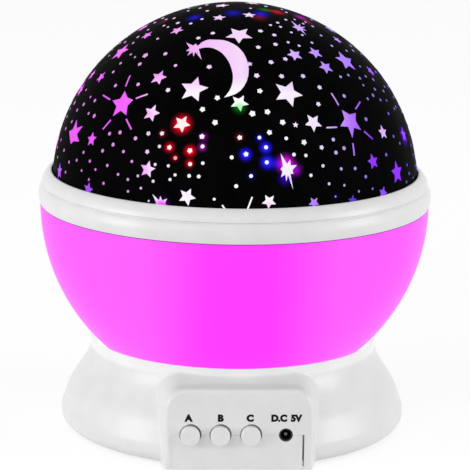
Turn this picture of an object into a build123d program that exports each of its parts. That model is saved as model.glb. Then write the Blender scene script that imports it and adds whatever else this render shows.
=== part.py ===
from build123d import *
from math import acos, atan, cos, pi, radians, sin, sqrt, tan
import os

# Star night light. Millimetres, +Z up, origin on the table under the middle of the lamp.
# The control block faces -Y.

# ---- Clearances that several pieces share ----
running_gap = 0.3
bore_clearance = 0.2
axle_gap = 0.05
axle_fit = 0.02

# ---- Star dome ----
dome_radius = 61.0
dome_wall = 1.6
dome_sink = 5.25
dome_edge_sink = 1.4
dome_step = 1.0
dome_skirt_wall = 1.4
dome_skirt_depth = 7.2
dome_bead_reach = 0.7
dome_bead_lift = 1.1
dome_bead_height = 1.0

# ---- Ring that holds the dome, and its bayonet lugs ----
ring_height = 4.55
ring_lip_width = 0.8
ring_crown = 0.45
neck_wall = 1.8
neck_floor_gap = 0.2
lug_count = 4
lug_width = 8.0
lug_height = 1.3
lug_reach = 0.6
lug_catch_gap = 0.2
lug_lift = 1.6
lug_lead = 72.0

# ---- Bowl and its rim band ----
bowl_wall = 2.0
bowl_floor_thickness = 2.0
seam_gap = 0.2
seam_chamfer = 0.45
band_height = 6.3
band_wall = 1.2
band_taper = 0.67
band_bulge = 0.58
band_neck_gap = 1.0
band_floor_thickness = 0.8
spigot_depth = 3.0
spigot_wall = 1.6

# ---- Base shell ----
base_wall = 2.3
base_flare = 9.75
base_wide_z = 5.0
base_foot_tuck = 4.95
foot_edge_width = 0.7
neck_room = 3.975
neck_height = 3.45
well_ledge = 4.2
foot_bulge = 1.4
foot_bulge_z = 2.1
# How far down the flare, and how much of its reach is gained there.
flare_stations = ((0.16, 0.1), (0.32, 0.31), (0.5, 0.59), (0.68, 0.81), (0.86, 0.95))
shell_bottom_z = 0.6
rim_gap = 0.9
deck_thickness = 1.6
deck_room = 0.5
deck_edge_bite = 1.4

# ---- Control block ----
panel_inset = 0.75
panel_wall = 2.0
panel_half_width = 23.75
panel_drop = 1.2
panel_corner = 6.5
block_bite = 10.0
block_draft = 10.0
block_edge_round = 1.6
pocket_depth = 13.0
controls_z = 12.2
tab_half_width = 21.1
tab_left_gap = 0.1
tab_right_gap = 0.35
tab_top_gap = 0.12
tab_x = -0.55
button_xs = (-15.75, -6.05, 3.8)
button_names = ("button_a", "button_b", "button_c")
button_radius = 3.15
button_gap = 0.25
button_proud = 2.3
button_edge_round = 0.4
button_flange_width = 0.85
button_flange_thickness = 1.0
button_stem_radius = 1.5
button_stem_length = 3.2
button_travel = 0.8
jack_x = 15.1
jack_gap = 0.15
jack_nose_wall = 0.35
jack_bore_radius = 1.75
jack_bore_depth = 7.5
jack_pin_radius = 0.65
jack_pin_setback = 1.2
jack_body_width = 8.0
jack_body_height = 6.5
board_front = 11.0
board_thickness = 1.2
board_half_width = 20.4
board_bottom_gap = 1.0
board_top_gap = 1.8
switch_side = 6.0
switch_depth = 3.5
plunger_radius = 1.6
plunger_sink = 2.2
board_screw_inset = 1.6
board_screw_drop = 1.9
board_boss_radius = 1.8

# ---- Bottom plate, feet and battery bay ----
plate_thickness = 2.0
plate_gap = 0.15
foot_radius = 4.5
foot_thickness = 1.6
foot_seat_gap = 0.1
foot_edge_room = 3.0
foot_chamfer = 0.3
foot_angles = (51, 129, -60, -120)
base_boss_radius = 3.2
base_screw_room = 6.9
base_screw_angles = (35, 145, -42, -138)
boss_lift = 0.3

cell_radius = 5.25
cell_length = 44.5
cell_tip_radius = 1.9
cell_tip_length = 0.8
cell_spacing = 0.3
cell_floor_gap = 0.45
cell_top_gap = 0.75
cell_count = 4
bay_side_room = 0.4
bay_end_room = 2.4
bay_wall = 1.2
contact_width = 8.0
contact_height = 8.5
contact_thickness = 0.4
contact_gap = 0.1
spring_wire_radius = 0.3
spring_radius = 3.0
spring_tip_radius = 2.0
spring_turns = 2.5
door_ledge = 1.0
door_gap = 0.15
door_thickness = 1.4
door_ear_radius = 4.0
door_ear_offset = 4.6
door_edge_room = 2.45
door_boss_radius = 3.0
door_boss_height = 5.0
door_thread_roof = 1.0
ridge_count = 5
ridge_pitch = 3.0
ridge_length = 18.0
ridge_width = 1.0
ridge_depth = 0.6

# ---- Screws: shank radius, head radius, head height ----
screw_shank = 1.0
screw_head = 2.2
screw_head_height = 0.8
screw_slot_width = 0.5
screw_hole_gap = 0.25
screw_sink_gap = 0.2
thread_gap = 0.05
screw_bite = 6.0

# ---- Drive ----
hub_teeth = 72
drive_pinion_teeth = 12
drive_module = 0.8
wheel_teeth = 40
pinion_teeth = 10
train_module = 0.5
pressure_angle = radians(20)
tooth_addendum = 0.85
tooth_dedendum = 1.2
tooth_play = 0.14
drive_angle = 20.0
idler_angle = -80.0
motor_angle = -90.0
hub_thickness = 3.0
hub_bore_gap = 0.05
hub_screw_room = 3.5
hub_screw_count = 4
train_wheel_thickness = 2.2
frame_thickness = 1.2
frame_boss_height = 0.4
frame_margin = 6.0
axle_boss_wall = 1.2
axle_radius = 1.0
drive_shaft_radius = 3.0
spacer_radius = 1.7
post_radius = 2.5
post_room = 1.9
post_angles = (-38, -119, 108)
motor_lift = 1.0
motor_radius = 10.0
motor_length = 11.2
motor_boss_radius = 3.0
motor_edge_round = 0.6
motor_boss_height = 0.8
motor_screw_reach = 7.0
motor_screw_shank = 0.8
motor_screw_head = 1.6
motor_screw_bite = 2.0

# ---- Lamp pillar ----
journal_radius = 15.95
journal_flange_width = 4.05
journal_flange_thickness = 2.0
pillar_radius = 12.0
pillar_wall = 1.8
pillar_head_wall = 1.4
pillar_head_drop = 11.8
pillar_head_height = 5.4
pillar_screw_count = 3
lamp_board_radius = 12.0
lamp_board_thickness = 1.6
lamp_board_sink = 0.2
thrust_width = 3.0
thrust_height = 0.5
thrust_gap = 0.1
wire_hole_radius = 6.0
led_radius = 2.5
led_flange_radius = 2.9
led_flange_height = 1.0
led_height = 8.6
led_circle = 5.2
led_names = ("led_red", "led_green", "led_blue", "led_white")

# ---- Wires ----
wire_radius = 0.6
wire_lane = 2.0
wire_bend = 2.0
lamp_wire_count = 4
lamp_wire_bend = 3.0
lamp_wire_drop = 2.6
motor_wire_lift = 4.4
motor_wire_room = 8.0
motor_wire_inset = 3.0

# ---- Gear distances, then radii from the drive outwards and from the dome outwards ----
hub_distance = drive_module * (hub_teeth + drive_pinion_teeth) / 2
train_distance = train_module * (wheel_teeth + pinion_teeth) / 2
wheel_tip_radius = train_module * (wheel_teeth / 2 + tooth_addendum)
base_neck_radius = hub_distance + wheel_tip_radius + neck_room
base_inner_neck = base_neck_radius - base_wall
base_radius = base_neck_radius + base_flare
base_foot_radius = base_radius - base_foot_tuck
plate_radius = base_foot_radius - foot_edge_width - plate_gap
bowl_floor_radius = base_inner_neck - well_ledge

dome_skirt_radius = dome_radius - dome_step
dome_bead_radius = dome_skirt_radius + dome_bead_reach
ring_lip_radius = dome_radius + ring_lip_width
ring_inner_radius = dome_skirt_radius + running_gap
neck_outer_radius = ring_inner_radius + neck_wall
lug_face_radius = neck_outer_radius + lug_reach
lug_catch_radius = neck_outer_radius + lug_catch_gap
band_inner_radius = neck_outer_radius + band_neck_gap
seam_radius = band_inner_radius + band_wall
bowl_radius = seam_radius + band_taper
band_bulge_radius = bowl_radius + band_bulge
lug_slope = lug_lead / (2 * pi * neck_outer_radius)

# ---- Heights from the table up: motor, gears, deck, bowl, ring, dome ----
plate_top_z = shell_bottom_z + plate_thickness
frame_z = plate_top_z + motor_lift + motor_length
frame_top_z = frame_z + frame_thickness
lower_wheel_z = frame_top_z + frame_boss_height + thrust_gap
upper_wheel_z = lower_wheel_z + train_wheel_thickness + bore_clearance
deck_z = upper_wheel_z + train_wheel_thickness + deck_room
deck_top_z = deck_z + deck_thickness
hub_z = deck_top_z + thrust_height + thrust_gap
bowl_floor_z = hub_z + hub_thickness
bowl_floor_top_z = bowl_floor_z + bowl_floor_thickness
bowl_centre_z = bowl_floor_z + sqrt(bowl_radius**2 - bowl_floor_radius**2)
rim_outer_z = bowl_centre_z - sqrt((bowl_radius + rim_gap) ** 2 - base_neck_radius**2)
rim_inner_z = bowl_centre_z - sqrt((bowl_radius + rim_gap) ** 2 - base_inner_neck**2)
flare_top_z = rim_outer_z - neck_height
band_bottom_z = bowl_centre_z + bore_clearance / 2
band_floor_top_z = band_bottom_z + band_floor_thickness
seam_z = bowl_centre_z + band_height
ring_bottom_z = seam_z + seam_gap
ring_top_z = seam_z + ring_height
neck_bottom_z = band_floor_top_z + neck_floor_gap
lug_z = neck_bottom_z + lug_lift
dome_centre_z = ring_top_z - dome_sink
dome_edge_z = ring_top_z - dome_edge_sink
dome_skirt_bottom_z = dome_edge_z - dome_skirt_depth
dome_bead_z = dome_skirt_bottom_z + dome_bead_lift

# ---- Control block, board and battery bay ----
panel_y = base_radius - panel_inset
panel_top_z = flare_top_z - panel_drop
block_depth = panel_y - base_neck_radius + block_bite
pocket_back_y = panel_y - pocket_depth
tab_opening_width = 2 * tab_half_width + tab_left_gap + tab_right_gap
tab_opening_x = tab_x + (tab_right_gap - tab_left_gap) / 2
button_hole_radius = button_radius + button_gap
button_flange_radius = button_radius + button_flange_width
jack_nose_radius = jack_bore_radius + jack_nose_wall
jack_hole_radius = jack_nose_radius + jack_gap
board_y = panel_y - board_front
board_bottom_z = plate_top_z + board_bottom_gap
board_top_z = deck_z - board_top_gap
board_screw_x = board_half_width - board_screw_inset
board_screw_z = board_top_z - board_screw_drop

cell_pitch = 2 * cell_radius + cell_spacing
cell_axis_z = plate_top_z + cell_floor_gap + cell_radius
bay_top_z = cell_axis_z + cell_radius + cell_top_gap
bay_half_width = cell_pitch * (cell_count - 1) / 2 + cell_radius + bay_side_room
bay_rear_y = plate_radius - door_edge_room - door_ear_radius - door_ear_offset
bay_length = cell_length + 2 * bay_end_room
bay_front_y = bay_rear_y - bay_length
bay_mid_y = (bay_front_y + bay_rear_y) / 2

# ---- Lamp pillar ----
journal_flange_radius = journal_radius + journal_flange_width
thrust_outer_radius = journal_flange_radius
thrust_inner_radius = thrust_outer_radius - thrust_width
pillar_bore = pillar_radius - pillar_wall
pillar_screw_circle = (pillar_bore + journal_radius) / 2
pillar_head_radius = lamp_board_radius + bore_clearance + pillar_head_wall
pillar_head_z = bowl_centre_z - pillar_head_drop
pillar_top_z = pillar_head_z + pillar_head_height
lamp_board_z = pillar_top_z - lamp_board_sink - lamp_board_thickness
lamp_wire_z = deck_z - lamp_wire_drop
motor_wire_z = plate_top_z + motor_wire_lift

top = (Align.CENTER, Align.CENTER, Align.MAX)
low = (Align.CENTER, Align.CENTER, Align.MIN)


def step(start, distance, angle):
    """A point at a distance and angle from another."""
    return (
        start[0] + distance * cos(radians(angle)),
        start[1] + distance * sin(radians(angle)),
    )


def ring_of(radius, count, first_angle):
    """Points spaced evenly on a circle about the lamp's axis."""
    return [step((0, 0), radius, first_angle + turn * 360 / count) for turn in range(count)]


drive_spot = step((0, 0), hub_distance, drive_angle)
idler_spot = step(drive_spot, train_distance, idler_angle)
motor_spot = step(idler_spot, train_distance, motor_angle)
motor_screw_spots = (step(motor_spot, motor_screw_reach, 0), step(motor_spot, motor_screw_reach, 180))
wheel_to_post = wheel_tip_radius + post_radius + post_room
post_spots = (
    step(idler_spot, wheel_to_post, post_angles[0]),
    step(motor_spot, motor_radius + post_radius + post_room, post_angles[1]),
    step(drive_spot, wheel_to_post, post_angles[2]),
)
pillar_screw_spots = ring_of(pillar_screw_circle, pillar_screw_count, 90)
hub_screw_spots = ring_of(journal_flange_radius + hub_screw_room, hub_screw_count, 45)
foot_spots = [step((0, 0), plate_radius - foot_radius - foot_edge_room, angle) for angle in foot_angles]
base_screw_spots = [step((0, 0), plate_radius - base_screw_room, angle) for angle in base_screw_angles]
door_ear_spots = ((0, bay_front_y - door_ear_offset), (0, bay_rear_y + door_ear_offset))
cell_xs = [cell_pitch * (cell - (cell_count - 1) / 2) for cell in range(cell_count)]


os.makedirs("parts", exist_ok=True)


def ball_radius(radius, centre_z, z):
    """Distance of a ball's surface from the axis at a height."""
    return sqrt(radius**2 - (z - centre_z) ** 2)


def behind_panel(depth):
    """A plane parallel to the control face, a depth behind it, that looks out of the lamp."""
    return Plane.XZ.offset(panel_y - depth)


def flare_line(inset, start_z):
    """Lines of the base from its neck to its widest and on to its foot, moved inwards by a wall."""
    flare_height = flare_top_z - base_wide_z
    upper = Spline(
        (base_neck_radius - inset, start_z),
        (base_neck_radius - inset, flare_top_z),
        *[
            (base_neck_radius + reach * base_flare - inset, flare_top_z - down * flare_height)
            for down, reach in flare_stations
        ],
        (base_radius - inset, base_wide_z),
        tangents=((0, -1), (0, -1)),
    )
    foot = Spline(
        (base_radius - inset, base_wide_z),
        (base_radius - foot_bulge - inset, foot_bulge_z),
        (base_foot_radius - min(inset, foot_edge_width), shell_bottom_z),
        tangents=((0, -1), (-1, 0)),
    )
    return upper, foot


def gear_sketch(teeth, module, tooth_angle):
    """Outline of a spur gear with straight-sided steps on its involute, one tooth at tooth_angle."""
    pitch = module * teeth / 2
    base = pitch * cos(pressure_angle)

    def involute(radius):
        rolled = acos(base / max(radius, base))
        return tan(rolled) - rolled

    def half_tooth(radius):
        at_pitch = pi / (2 * teeth) - tooth_play / (2 * pitch)
        return at_pitch + involute(pitch) - involute(radius)

    root = pitch - tooth_dedendum * module
    tip = pitch + tooth_addendum * module
    flank = [(radius, half_tooth(radius)) for radius in (root, pitch, tip)]
    sides = [(radius, -half) for radius, half in flank] + [(radius, half) for radius, half in reversed(flank)]
    points = []
    for tooth in range(teeth):
        middle = radians(tooth_angle) + 2 * pi * tooth / teeth
        points += [(radius * cos(middle + side), radius * sin(middle + side)) for radius, side in sides]
    with BuildLine() as outline:
        Polyline(*points, close=True)
    make_face(outline.edges())


def gap_angle(towards, teeth):
    """Angle of a tooth on a gear that has a gap where its mate's tooth comes from."""
    return towards + 180 + 180 / teeth


def pan_screws(spots, seat_z, way, length, head_radius=screw_head, shank_radius=screw_shank):
    """Cross-head screws seated at seat_z, with shanks that run up (way 1) or down (way -1)."""
    with Locations(*[(x, y, seat_z) for x, y in spots]):
        Cylinder(shank_radius, length, align=low if way > 0 else top)
        Cylinder(head_radius, screw_head_height, align=top if way > 0 else low)
    with Locations(*[(x, y, seat_z - way * screw_head_height) for x, y in spots]):
        for turn in (0, 90):
            Box(
                head_radius * 1.2,
                screw_slot_width,
                screw_head_height,
                rotation=(0, 0, turn),
                mode=Mode.SUBTRACT,
            )


def lugs(from_radius, to_radius, middle_z):
    """Slanted bayonet lugs round a wall, on planes square to the radius."""
    rise = lug_slope * lug_width / 2
    half = lug_height / 2
    for lug in range(lug_count):
        turn = radians(360 * lug / lug_count + 45)
        spot = Plane(
            origin=(from_radius * cos(turn), from_radius * sin(turn), middle_z),
            x_dir=(-sin(turn), cos(turn), 0),
            z_dir=(cos(turn), sin(turn), 0),
        )
        with BuildSketch(spot) as lug_face:
            Polygon(
                (-lug_width / 2, -rise - half),
                (lug_width / 2, rise - half),
                (lug_width / 2, rise + half),
                (-lug_width / 2, half - rise),
            )
        extrude(lug_face.sketch, amount=to_radius - from_radius)


def control_holes():
    """Button holes and the socket's hole, through the wall of the control face."""
    with BuildSketch(behind_panel(-1)) as holes:
        with Locations(*[(x, controls_z) for x in button_xs]):
            Circle(button_hole_radius)
        with Locations((jack_x, controls_z)):
            Circle(jack_hole_radius)
    extrude(holes.sketch, amount=-(panel_wall + 2), mode=Mode.SUBTRACT)


# ---- Base shell: neck, flare, control block, deck ----
with BuildPart() as base_shell:
    with BuildSketch(Plane.XZ):
        with BuildLine():
            flare, foot = flare_line(0, rim_outer_z)
            Polyline(
                foot @ 1,
                (0, shell_bottom_z),
                (0, rim_inner_z),
                (base_inner_neck, rim_inner_z),
                flare @ 0,
            )
        make_face()
    revolve()

    # The block widens towards the neck and dies into it; its back is cut off over the rim and the floor.
    with BuildSketch(Plane(origin=(0, -panel_y, 0), x_dir=(1, 0, 0), z_dir=(0, 1, 0))):
        RectangleRounded(2 * panel_half_width, 2 * panel_top_z, panel_corner)
    extrude(amount=block_depth, taper=-block_draft)
    with BuildSketch(Plane.XZ):
        with BuildLine():
            Polyline(
                (0, rim_inner_z),
                (base_inner_neck, rim_inner_z),
                (base_neck_radius, rim_outer_z),
                (base_neck_radius, 2 * rim_outer_z),
                (0, 2 * rim_outer_z),
                close=True,
            )
        make_face()
    revolve(mode=Mode.SUBTRACT)
    with BuildSketch(Plane.XY.offset(shell_bottom_z)):
        Circle(2 * base_radius)
    extrude(amount=-2 * panel_top_z, mode=Mode.SUBTRACT)
    with Locations((0, -panel_y, 0)):
        Box(
            2 * panel_half_width,
            base_flare,
            panel_top_z,
            align=(Align.CENTER, Align.MAX, Align.MIN),
            mode=Mode.SUBTRACT,
        )
    front = base_shell.faces().sort_by(Axis.Y)[0]
    fillet(front.edges().filter_by(lambda edge: edge.center().Z > shell_bottom_z + 0.1), block_edge_round)

    # Hollow under the deck and the well over it that the bowl sits in.
    with BuildSketch(Plane.XZ):
        with BuildLine():
            inner_flare, inner_foot = flare_line(base_wall, rim_outer_z)
            Polyline(
                inner_foot @ 1,
                (0, shell_bottom_z),
                (0, rim_outer_z),
                inner_flare @ 0,
            )
        make_face()
    revolve(mode=Mode.SUBTRACT)
    with Locations((0, 0, deck_z)):
        Cylinder(base_neck_radius + deck_edge_bite, deck_thickness, align=low)

    # Pocket behind the control face, open to the hollow.
    with Locations((0, -(panel_y - panel_wall + pocket_back_y) / 2, shell_bottom_z)):
        Box(
            2 * (panel_half_width - panel_wall),
            panel_y - panel_wall - pocket_back_y,
            deck_z - shell_bottom_z,
            align=low,
            mode=Mode.SUBTRACT,
        )
    with Locations((tab_opening_x, -(panel_y - panel_wall / 2), shell_bottom_z)):
        Box(
            tab_opening_width,
            2 * panel_wall,
            controls_z - shell_bottom_z,
            align=low,
            mode=Mode.SUBTRACT,
        )
    control_holes()

    # Bosses: base screws, gear posts, idler axle, control board; thrust ring for the hub.
    with Locations(*[(x, y, deck_z) for x, y in base_screw_spots]):
        Cylinder(base_boss_radius, deck_z - plate_top_z - boss_lift, align=top)
    with Locations(*[(x, y, deck_z) for x, y in post_spots]):
        Cylinder(post_radius, deck_z - frame_top_z, align=top)
    with Locations((*idler_spot, deck_z)):
        Cylinder(axle_radius + axle_boss_wall, frame_boss_height - thrust_gap, align=top)
    with BuildSketch(behind_panel(panel_wall)):
        with Locations((-board_screw_x, board_screw_z), (board_screw_x, board_screw_z)):
            Circle(board_boss_radius)
    extrude(amount=-(board_front - panel_wall))
    with BuildSketch(Plane.XY.offset(deck_top_z)):
        Circle(thrust_outer_radius)
        Circle(thrust_inner_radius, mode=Mode.SUBTRACT)
    extrude(amount=thrust_height)
    thread_hole = screw_shank + thread_gap
    with Locations(*[(x, y, plate_top_z) for x, y in base_screw_spots]):
        Cylinder(thread_hole, screw_bite + plate_thickness, align=low, mode=Mode.SUBTRACT)
    with Locations(*[(x, y, frame_top_z) for x, y in post_spots]):
        Cylinder(thread_hole, screw_bite, align=low, mode=Mode.SUBTRACT)
    with BuildSketch(behind_panel(board_front)):
        with Locations((-board_screw_x, board_screw_z), (board_screw_x, board_screw_z)):
            Circle(thread_hole)
    extrude(amount=screw_bite, mode=Mode.SUBTRACT)
    with Locations((*idler_spot, deck_top_z - 0.6)):
        Cylinder(axle_radius + axle_fit, deck_thickness, align=top, mode=Mode.SUBTRACT)
    with Locations((*drive_spot, deck_z)):
        Cylinder(drive_shaft_radius + running_gap, 3 * deck_thickness, mode=Mode.SUBTRACT)
    with Locations((0, 0, deck_z)):
        Cylinder(wire_hole_radius, 3 * deck_thickness, mode=Mode.SUBTRACT)
    with Locations(*[(x, y, deck_z) for x, y in pillar_screw_spots]):
        Cylinder(screw_shank + screw_hole_gap, 3 * deck_thickness, mode=Mode.SUBTRACT)
base_shell.part.label = "base_shell"
export_step(base_shell.part, "parts/base_shell.step")

# ---- Bottom plate: disc, tab of the control face, battery bay ----
with BuildPart() as bottom_plate:
    with BuildSketch(Plane.XY.offset(shell_bottom_z)):
        Circle(plate_radius)
        with Locations((tab_x, -panel_y / 2)):
            Rectangle(2 * tab_half_width, panel_y)
    extrude(amount=plate_thickness)
    with Locations((tab_x, -(panel_y - panel_wall / 2), shell_bottom_z)):
        Box(2 * tab_half_width, panel_wall, controls_z - tab_top_gap - shell_bottom_z, align=low)
    control_holes()
    with Locations((0, bay_mid_y, plate_top_z)):
        Box(
            2 * (bay_half_width + bay_wall),
            bay_length + 2 * bay_wall,
            bay_top_z + bay_wall - plate_top_z,
            align=low,
        )
    with Locations((*door_ear_spots[0], plate_top_z), (*door_ear_spots[1], plate_top_z)):
        Cylinder(door_boss_radius, door_boss_height, align=low)
    with Locations((0, bay_mid_y, bay_top_z)):
        Box(2 * bay_half_width, bay_length, bay_top_z, align=top, mode=Mode.SUBTRACT)
    # Recess of the door and its ears, and the screws' threads above it.
    with BuildSketch(Plane.XY.offset(shell_bottom_z)):
        with Locations((0, bay_mid_y)):
            Rectangle(2 * (bay_half_width + door_ledge), bay_length + 2 * door_ledge)
        with Locations(*door_ear_spots):
            Circle(door_ear_radius)
    extrude(amount=door_thickness, mode=Mode.SUBTRACT)
    with Locations(*[(x, y, shell_bottom_z) for x, y in door_ear_spots]):
        Cylinder(
            screw_shank + thread_gap,
            plate_thickness + door_boss_height - door_thread_roof,
            align=low,
            mode=Mode.SUBTRACT,
        )
    # Seats of the feet, and sunk holes of the base screws.
    with Locations(*[(x, y, shell_bottom_z) for x, y in foot_spots]):
        Cylinder(
            foot_radius + foot_seat_gap,
            foot_thickness - shell_bottom_z,
            align=low,
            mode=Mode.SUBTRACT,
        )
    with Locations(*[(x, y, shell_bottom_z) for x, y in base_screw_spots]):
        Cylinder(screw_shank + screw_hole_gap, plate_thickness, align=low, mode=Mode.SUBTRACT)
        Cylinder(
            screw_head + screw_hole_gap, screw_head_height + screw_sink_gap, align=low, mode=Mode.SUBTRACT
        )
    # Holes that the battery wires run through.
    with BuildSketch(Plane.XZ.offset(-bay_front_y)):
        with Locations((cell_xs[0], cell_axis_z), (cell_xs[-1], cell_axis_z)):
            Circle(wire_radius + bore_clearance)
    extrude(amount=2 * bay_wall, mode=Mode.SUBTRACT)
bottom_plate.part.label = "bottom_plate"
export_step(bottom_plate.part, "parts/bottom_plate.step")

with BuildPart() as base_screws:
    pan_screws(base_screw_spots, shell_bottom_z + screw_head_height + screw_sink_gap, 1, screw_bite)
base_screws.part.label = "base_screws"
export_step(base_screws.part, "parts/base_screws.step")

with BuildPart() as rubber_feet:
    with Locations(*[(x, y, 0) for x, y in foot_spots]):
        Cylinder(foot_radius, foot_thickness, align=low)
    chamfer(rubber_feet.edges().group_by(Axis.Z)[0], foot_chamfer)
rubber_feet.part.label = "rubber_feet"
export_step(rubber_feet.part, "parts/rubber_feet.step")

with BuildPart() as battery_door:
    with BuildSketch(Plane.XY.offset(shell_bottom_z)):
        with Locations((0, bay_mid_y)):
            Rectangle(
                2 * (bay_half_width + door_ledge - door_gap),
                bay_length + 2 * (door_ledge - door_gap),
            )
        with Locations(*door_ear_spots):
            Circle(door_ear_radius - door_gap)
    extrude(amount=door_thickness - door_gap / 3)
    with Locations((0, bay_mid_y, shell_bottom_z)):
        Box(
            2 * (bay_half_width - running_gap),
            bay_length - 2 * running_gap,
            plate_thickness,
            align=low,
        )
    with Locations(*[(x, y, shell_bottom_z) for x, y in door_ear_spots]):
        Cylinder(screw_shank + screw_hole_gap, plate_thickness, align=low, mode=Mode.SUBTRACT)
        Cylinder(screw_head + screw_hole_gap, screw_head_height, align=low, mode=Mode.SUBTRACT)
    # Grip ridges under the thumb.
    with Locations((0, bay_mid_y, shell_bottom_z)):
        with GridLocations(0, ridge_pitch, 1, ridge_count):
            Box(ridge_length, ridge_width, ridge_depth, mode=Mode.SUBTRACT)
battery_door.part.label = "battery_door"
export_step(battery_door.part, "parts/battery_door.step")

with BuildPart() as door_screws:
    pan_screws(door_ear_spots, shell_bottom_z + screw_head_height, 1, screw_bite - 1)
door_screws.part.label = "door_screws"
export_step(door_screws.part, "parts/door_screws.step")

# ---- Cells and contacts: neighbours lie head to tail, so they are in series ----
with BuildPart() as battery_cells:
    for index, x in enumerate(cell_xs):
        head = 1 if index % 2 else -1
        with BuildSketch(Plane.XZ.offset(-(bay_mid_y - head * cell_length / 2))):
            with Locations((x, cell_axis_z)):
                Circle(cell_radius)
        extrude(amount=-head * (cell_length - cell_tip_length))
        with BuildSketch(Plane.XZ.offset(-(bay_mid_y + head * (cell_length / 2 - cell_tip_length)))):
            with Locations((x, cell_axis_z)):
                Circle(cell_tip_radius)
        extrude(amount=-head * cell_tip_length)
battery_cells.part.label = "battery_cells"
export_step(battery_cells.part, "parts/battery_cells.step")

front_plates = ((cell_xs[0], cell_xs[0]), (cell_xs[1], cell_xs[2]), (cell_xs[3], cell_xs[3]))
rear_plates = ((cell_xs[0], cell_xs[1]), (cell_xs[2], cell_xs[3]))
with BuildPart() as contact_plates:
    for plates, wall_y, inward in ((front_plates, bay_front_y, 1), (rear_plates, bay_rear_y, -1)):
        plate_y = wall_y + inward * (contact_gap + contact_thickness / 2)
        for first, last in plates:
            with Locations(((first + last) / 2, plate_y, cell_axis_z)):
                Box(last - first + contact_width, contact_thickness, contact_height)
contact_plates.part.label = "contact_plates"
export_step(contact_plates.part, "parts/contact_plates.step")

spring_height = bay_end_room - contact_gap - contact_thickness - 2 * spring_wire_radius - contact_gap / 2
spring_cone = -atan((spring_radius - spring_tip_radius) / spring_height) * 180 / pi
with BuildPart() as contact_springs:
    for index, x in enumerate(cell_xs):
        way = -1 if index % 2 else 1
        wall_y = bay_front_y if way < 0 else bay_rear_y
        foot_y = wall_y + (-way) * (contact_gap + contact_thickness + spring_wire_radius)
        with BuildLine():
            coil = Helix(
                spring_height / spring_turns,
                spring_height,
                spring_radius,
                center=(x, foot_y, cell_axis_z),
                direction=(0, -way, 0),
                cone_angle=spring_cone,
            )
        with BuildSketch(Plane(origin=coil @ 0, z_dir=coil % 0)):
            Circle(spring_wire_radius)
        sweep()
contact_springs.part.label = "contact_springs"
export_step(contact_springs.part, "parts/contact_springs.step")

# ---- Control board, switches, buttons and the power socket ----
with BuildPart() as control_board:
    with BuildSketch(behind_panel(board_front)):
        with Locations((0, (board_bottom_z + board_top_z) / 2)):
            Rectangle(2 * board_half_width, board_top_z - board_bottom_z)
        with Locations((-board_screw_x, board_screw_z), (board_screw_x, board_screw_z)):
            Circle(screw_shank + screw_hole_gap, mode=Mode.SUBTRACT)
    extrude(amount=-board_thickness)
control_board.part.label = "control_board"
export_step(control_board.part, "parts/control_board.step")

with BuildPart() as board_screws:
    with BuildSketch(behind_panel(board_front + board_thickness)):
        with Locations((-board_screw_x, board_screw_z), (board_screw_x, board_screw_z)):
            Circle(screw_shank)
    extrude(amount=screw_bite)
    with BuildSketch(behind_panel(board_front + board_thickness)):
        with Locations((-board_screw_x, board_screw_z), (board_screw_x, board_screw_z)):
            Circle(board_boss_radius)
    extrude(amount=-screw_head_height)
board_screws.part.label = "board_screws"
export_step(board_screws.part, "parts/board_screws.step")

with BuildPart() as switch_housings:
    with BuildSketch(behind_panel(board_front)):
        with Locations(*[(x, controls_z) for x in button_xs]):
            Rectangle(switch_side, switch_side)
    extrude(amount=switch_depth)
    with BuildSketch(behind_panel(board_front - switch_depth)):
        with Locations(*[(x, controls_z) for x in button_xs]):
            Circle(plunger_radius + bore_clearance)
    extrude(amount=-(plunger_sink + button_travel + thrust_gap), mode=Mode.SUBTRACT)
switch_housings.part.label = "switch_housings"
export_step(switch_housings.part, "parts/switch_housings.step")

flange_depth = panel_wall + bore_clearance
stem_depth = flange_depth + button_flange_thickness + button_stem_length
for name, x in zip(button_names, button_xs):
    with BuildPart() as button:
        with BuildSketch(behind_panel(-button_proud)):
            with Locations((x, controls_z)):
                Circle(button_radius)
        extrude(amount=-(button_proud + flange_depth))
        fillet(button.edges().sort_by(Axis.Y)[0], button_edge_round)
        for depth, length, radius in (
            (flange_depth, button_flange_thickness, button_flange_radius),
            (flange_depth + button_flange_thickness, button_stem_length, button_stem_radius),
        ):
            with BuildSketch(behind_panel(depth)):
                with Locations((x, controls_z)):
                    Circle(radius)
            extrude(amount=-length)
    button.part.label = name
    export_step(button.part, f"parts/{name}.step")

    with BuildPart() as plunger:
        with BuildSketch(behind_panel(stem_depth)):
            with Locations((x, controls_z)):
                Circle(plunger_radius)
        extrude(amount=-(board_front - switch_depth - stem_depth + plunger_sink))
    plunger.part.label = name.replace("button", "plunger")
    export_step(plunger.part, f"parts/{plunger.part.label}.step")

with BuildPart() as dc_jack:
    with BuildSketch(behind_panel(panel_wall + bore_clearance)):
        with Locations((jack_x, controls_z)):
            Rectangle(jack_body_width, jack_body_height)
    extrude(amount=-(board_front - panel_wall - bore_clearance))
    with BuildSketch(behind_panel(panel_wall + bore_clearance)):
        with Locations((jack_x, controls_z)):
            Circle(jack_nose_radius)
    extrude(amount=panel_wall - bore_clearance)
    with BuildSketch(behind_panel(0)):
        with Locations((jack_x, controls_z)):
            Circle(jack_bore_radius)
    extrude(amount=-jack_bore_depth, mode=Mode.SUBTRACT)
dc_jack.part.label = "dc_jack"
export_step(dc_jack.part, "parts/dc_jack.step")

with BuildPart() as dc_jack_pin:
    with BuildSketch(behind_panel(jack_pin_setback)):
        with Locations((jack_x, controls_z)):
            Circle(jack_pin_radius)
    extrude(amount=-(jack_bore_depth - jack_pin_setback))
    fillet(dc_jack_pin.edges().sort_by(Axis.Y)[0], jack_pin_radius / 2)
dc_jack_pin.part.label = "dc_jack_pin"
export_step(dc_jack_pin.part, "parts/dc_jack_pin.step")

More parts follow.
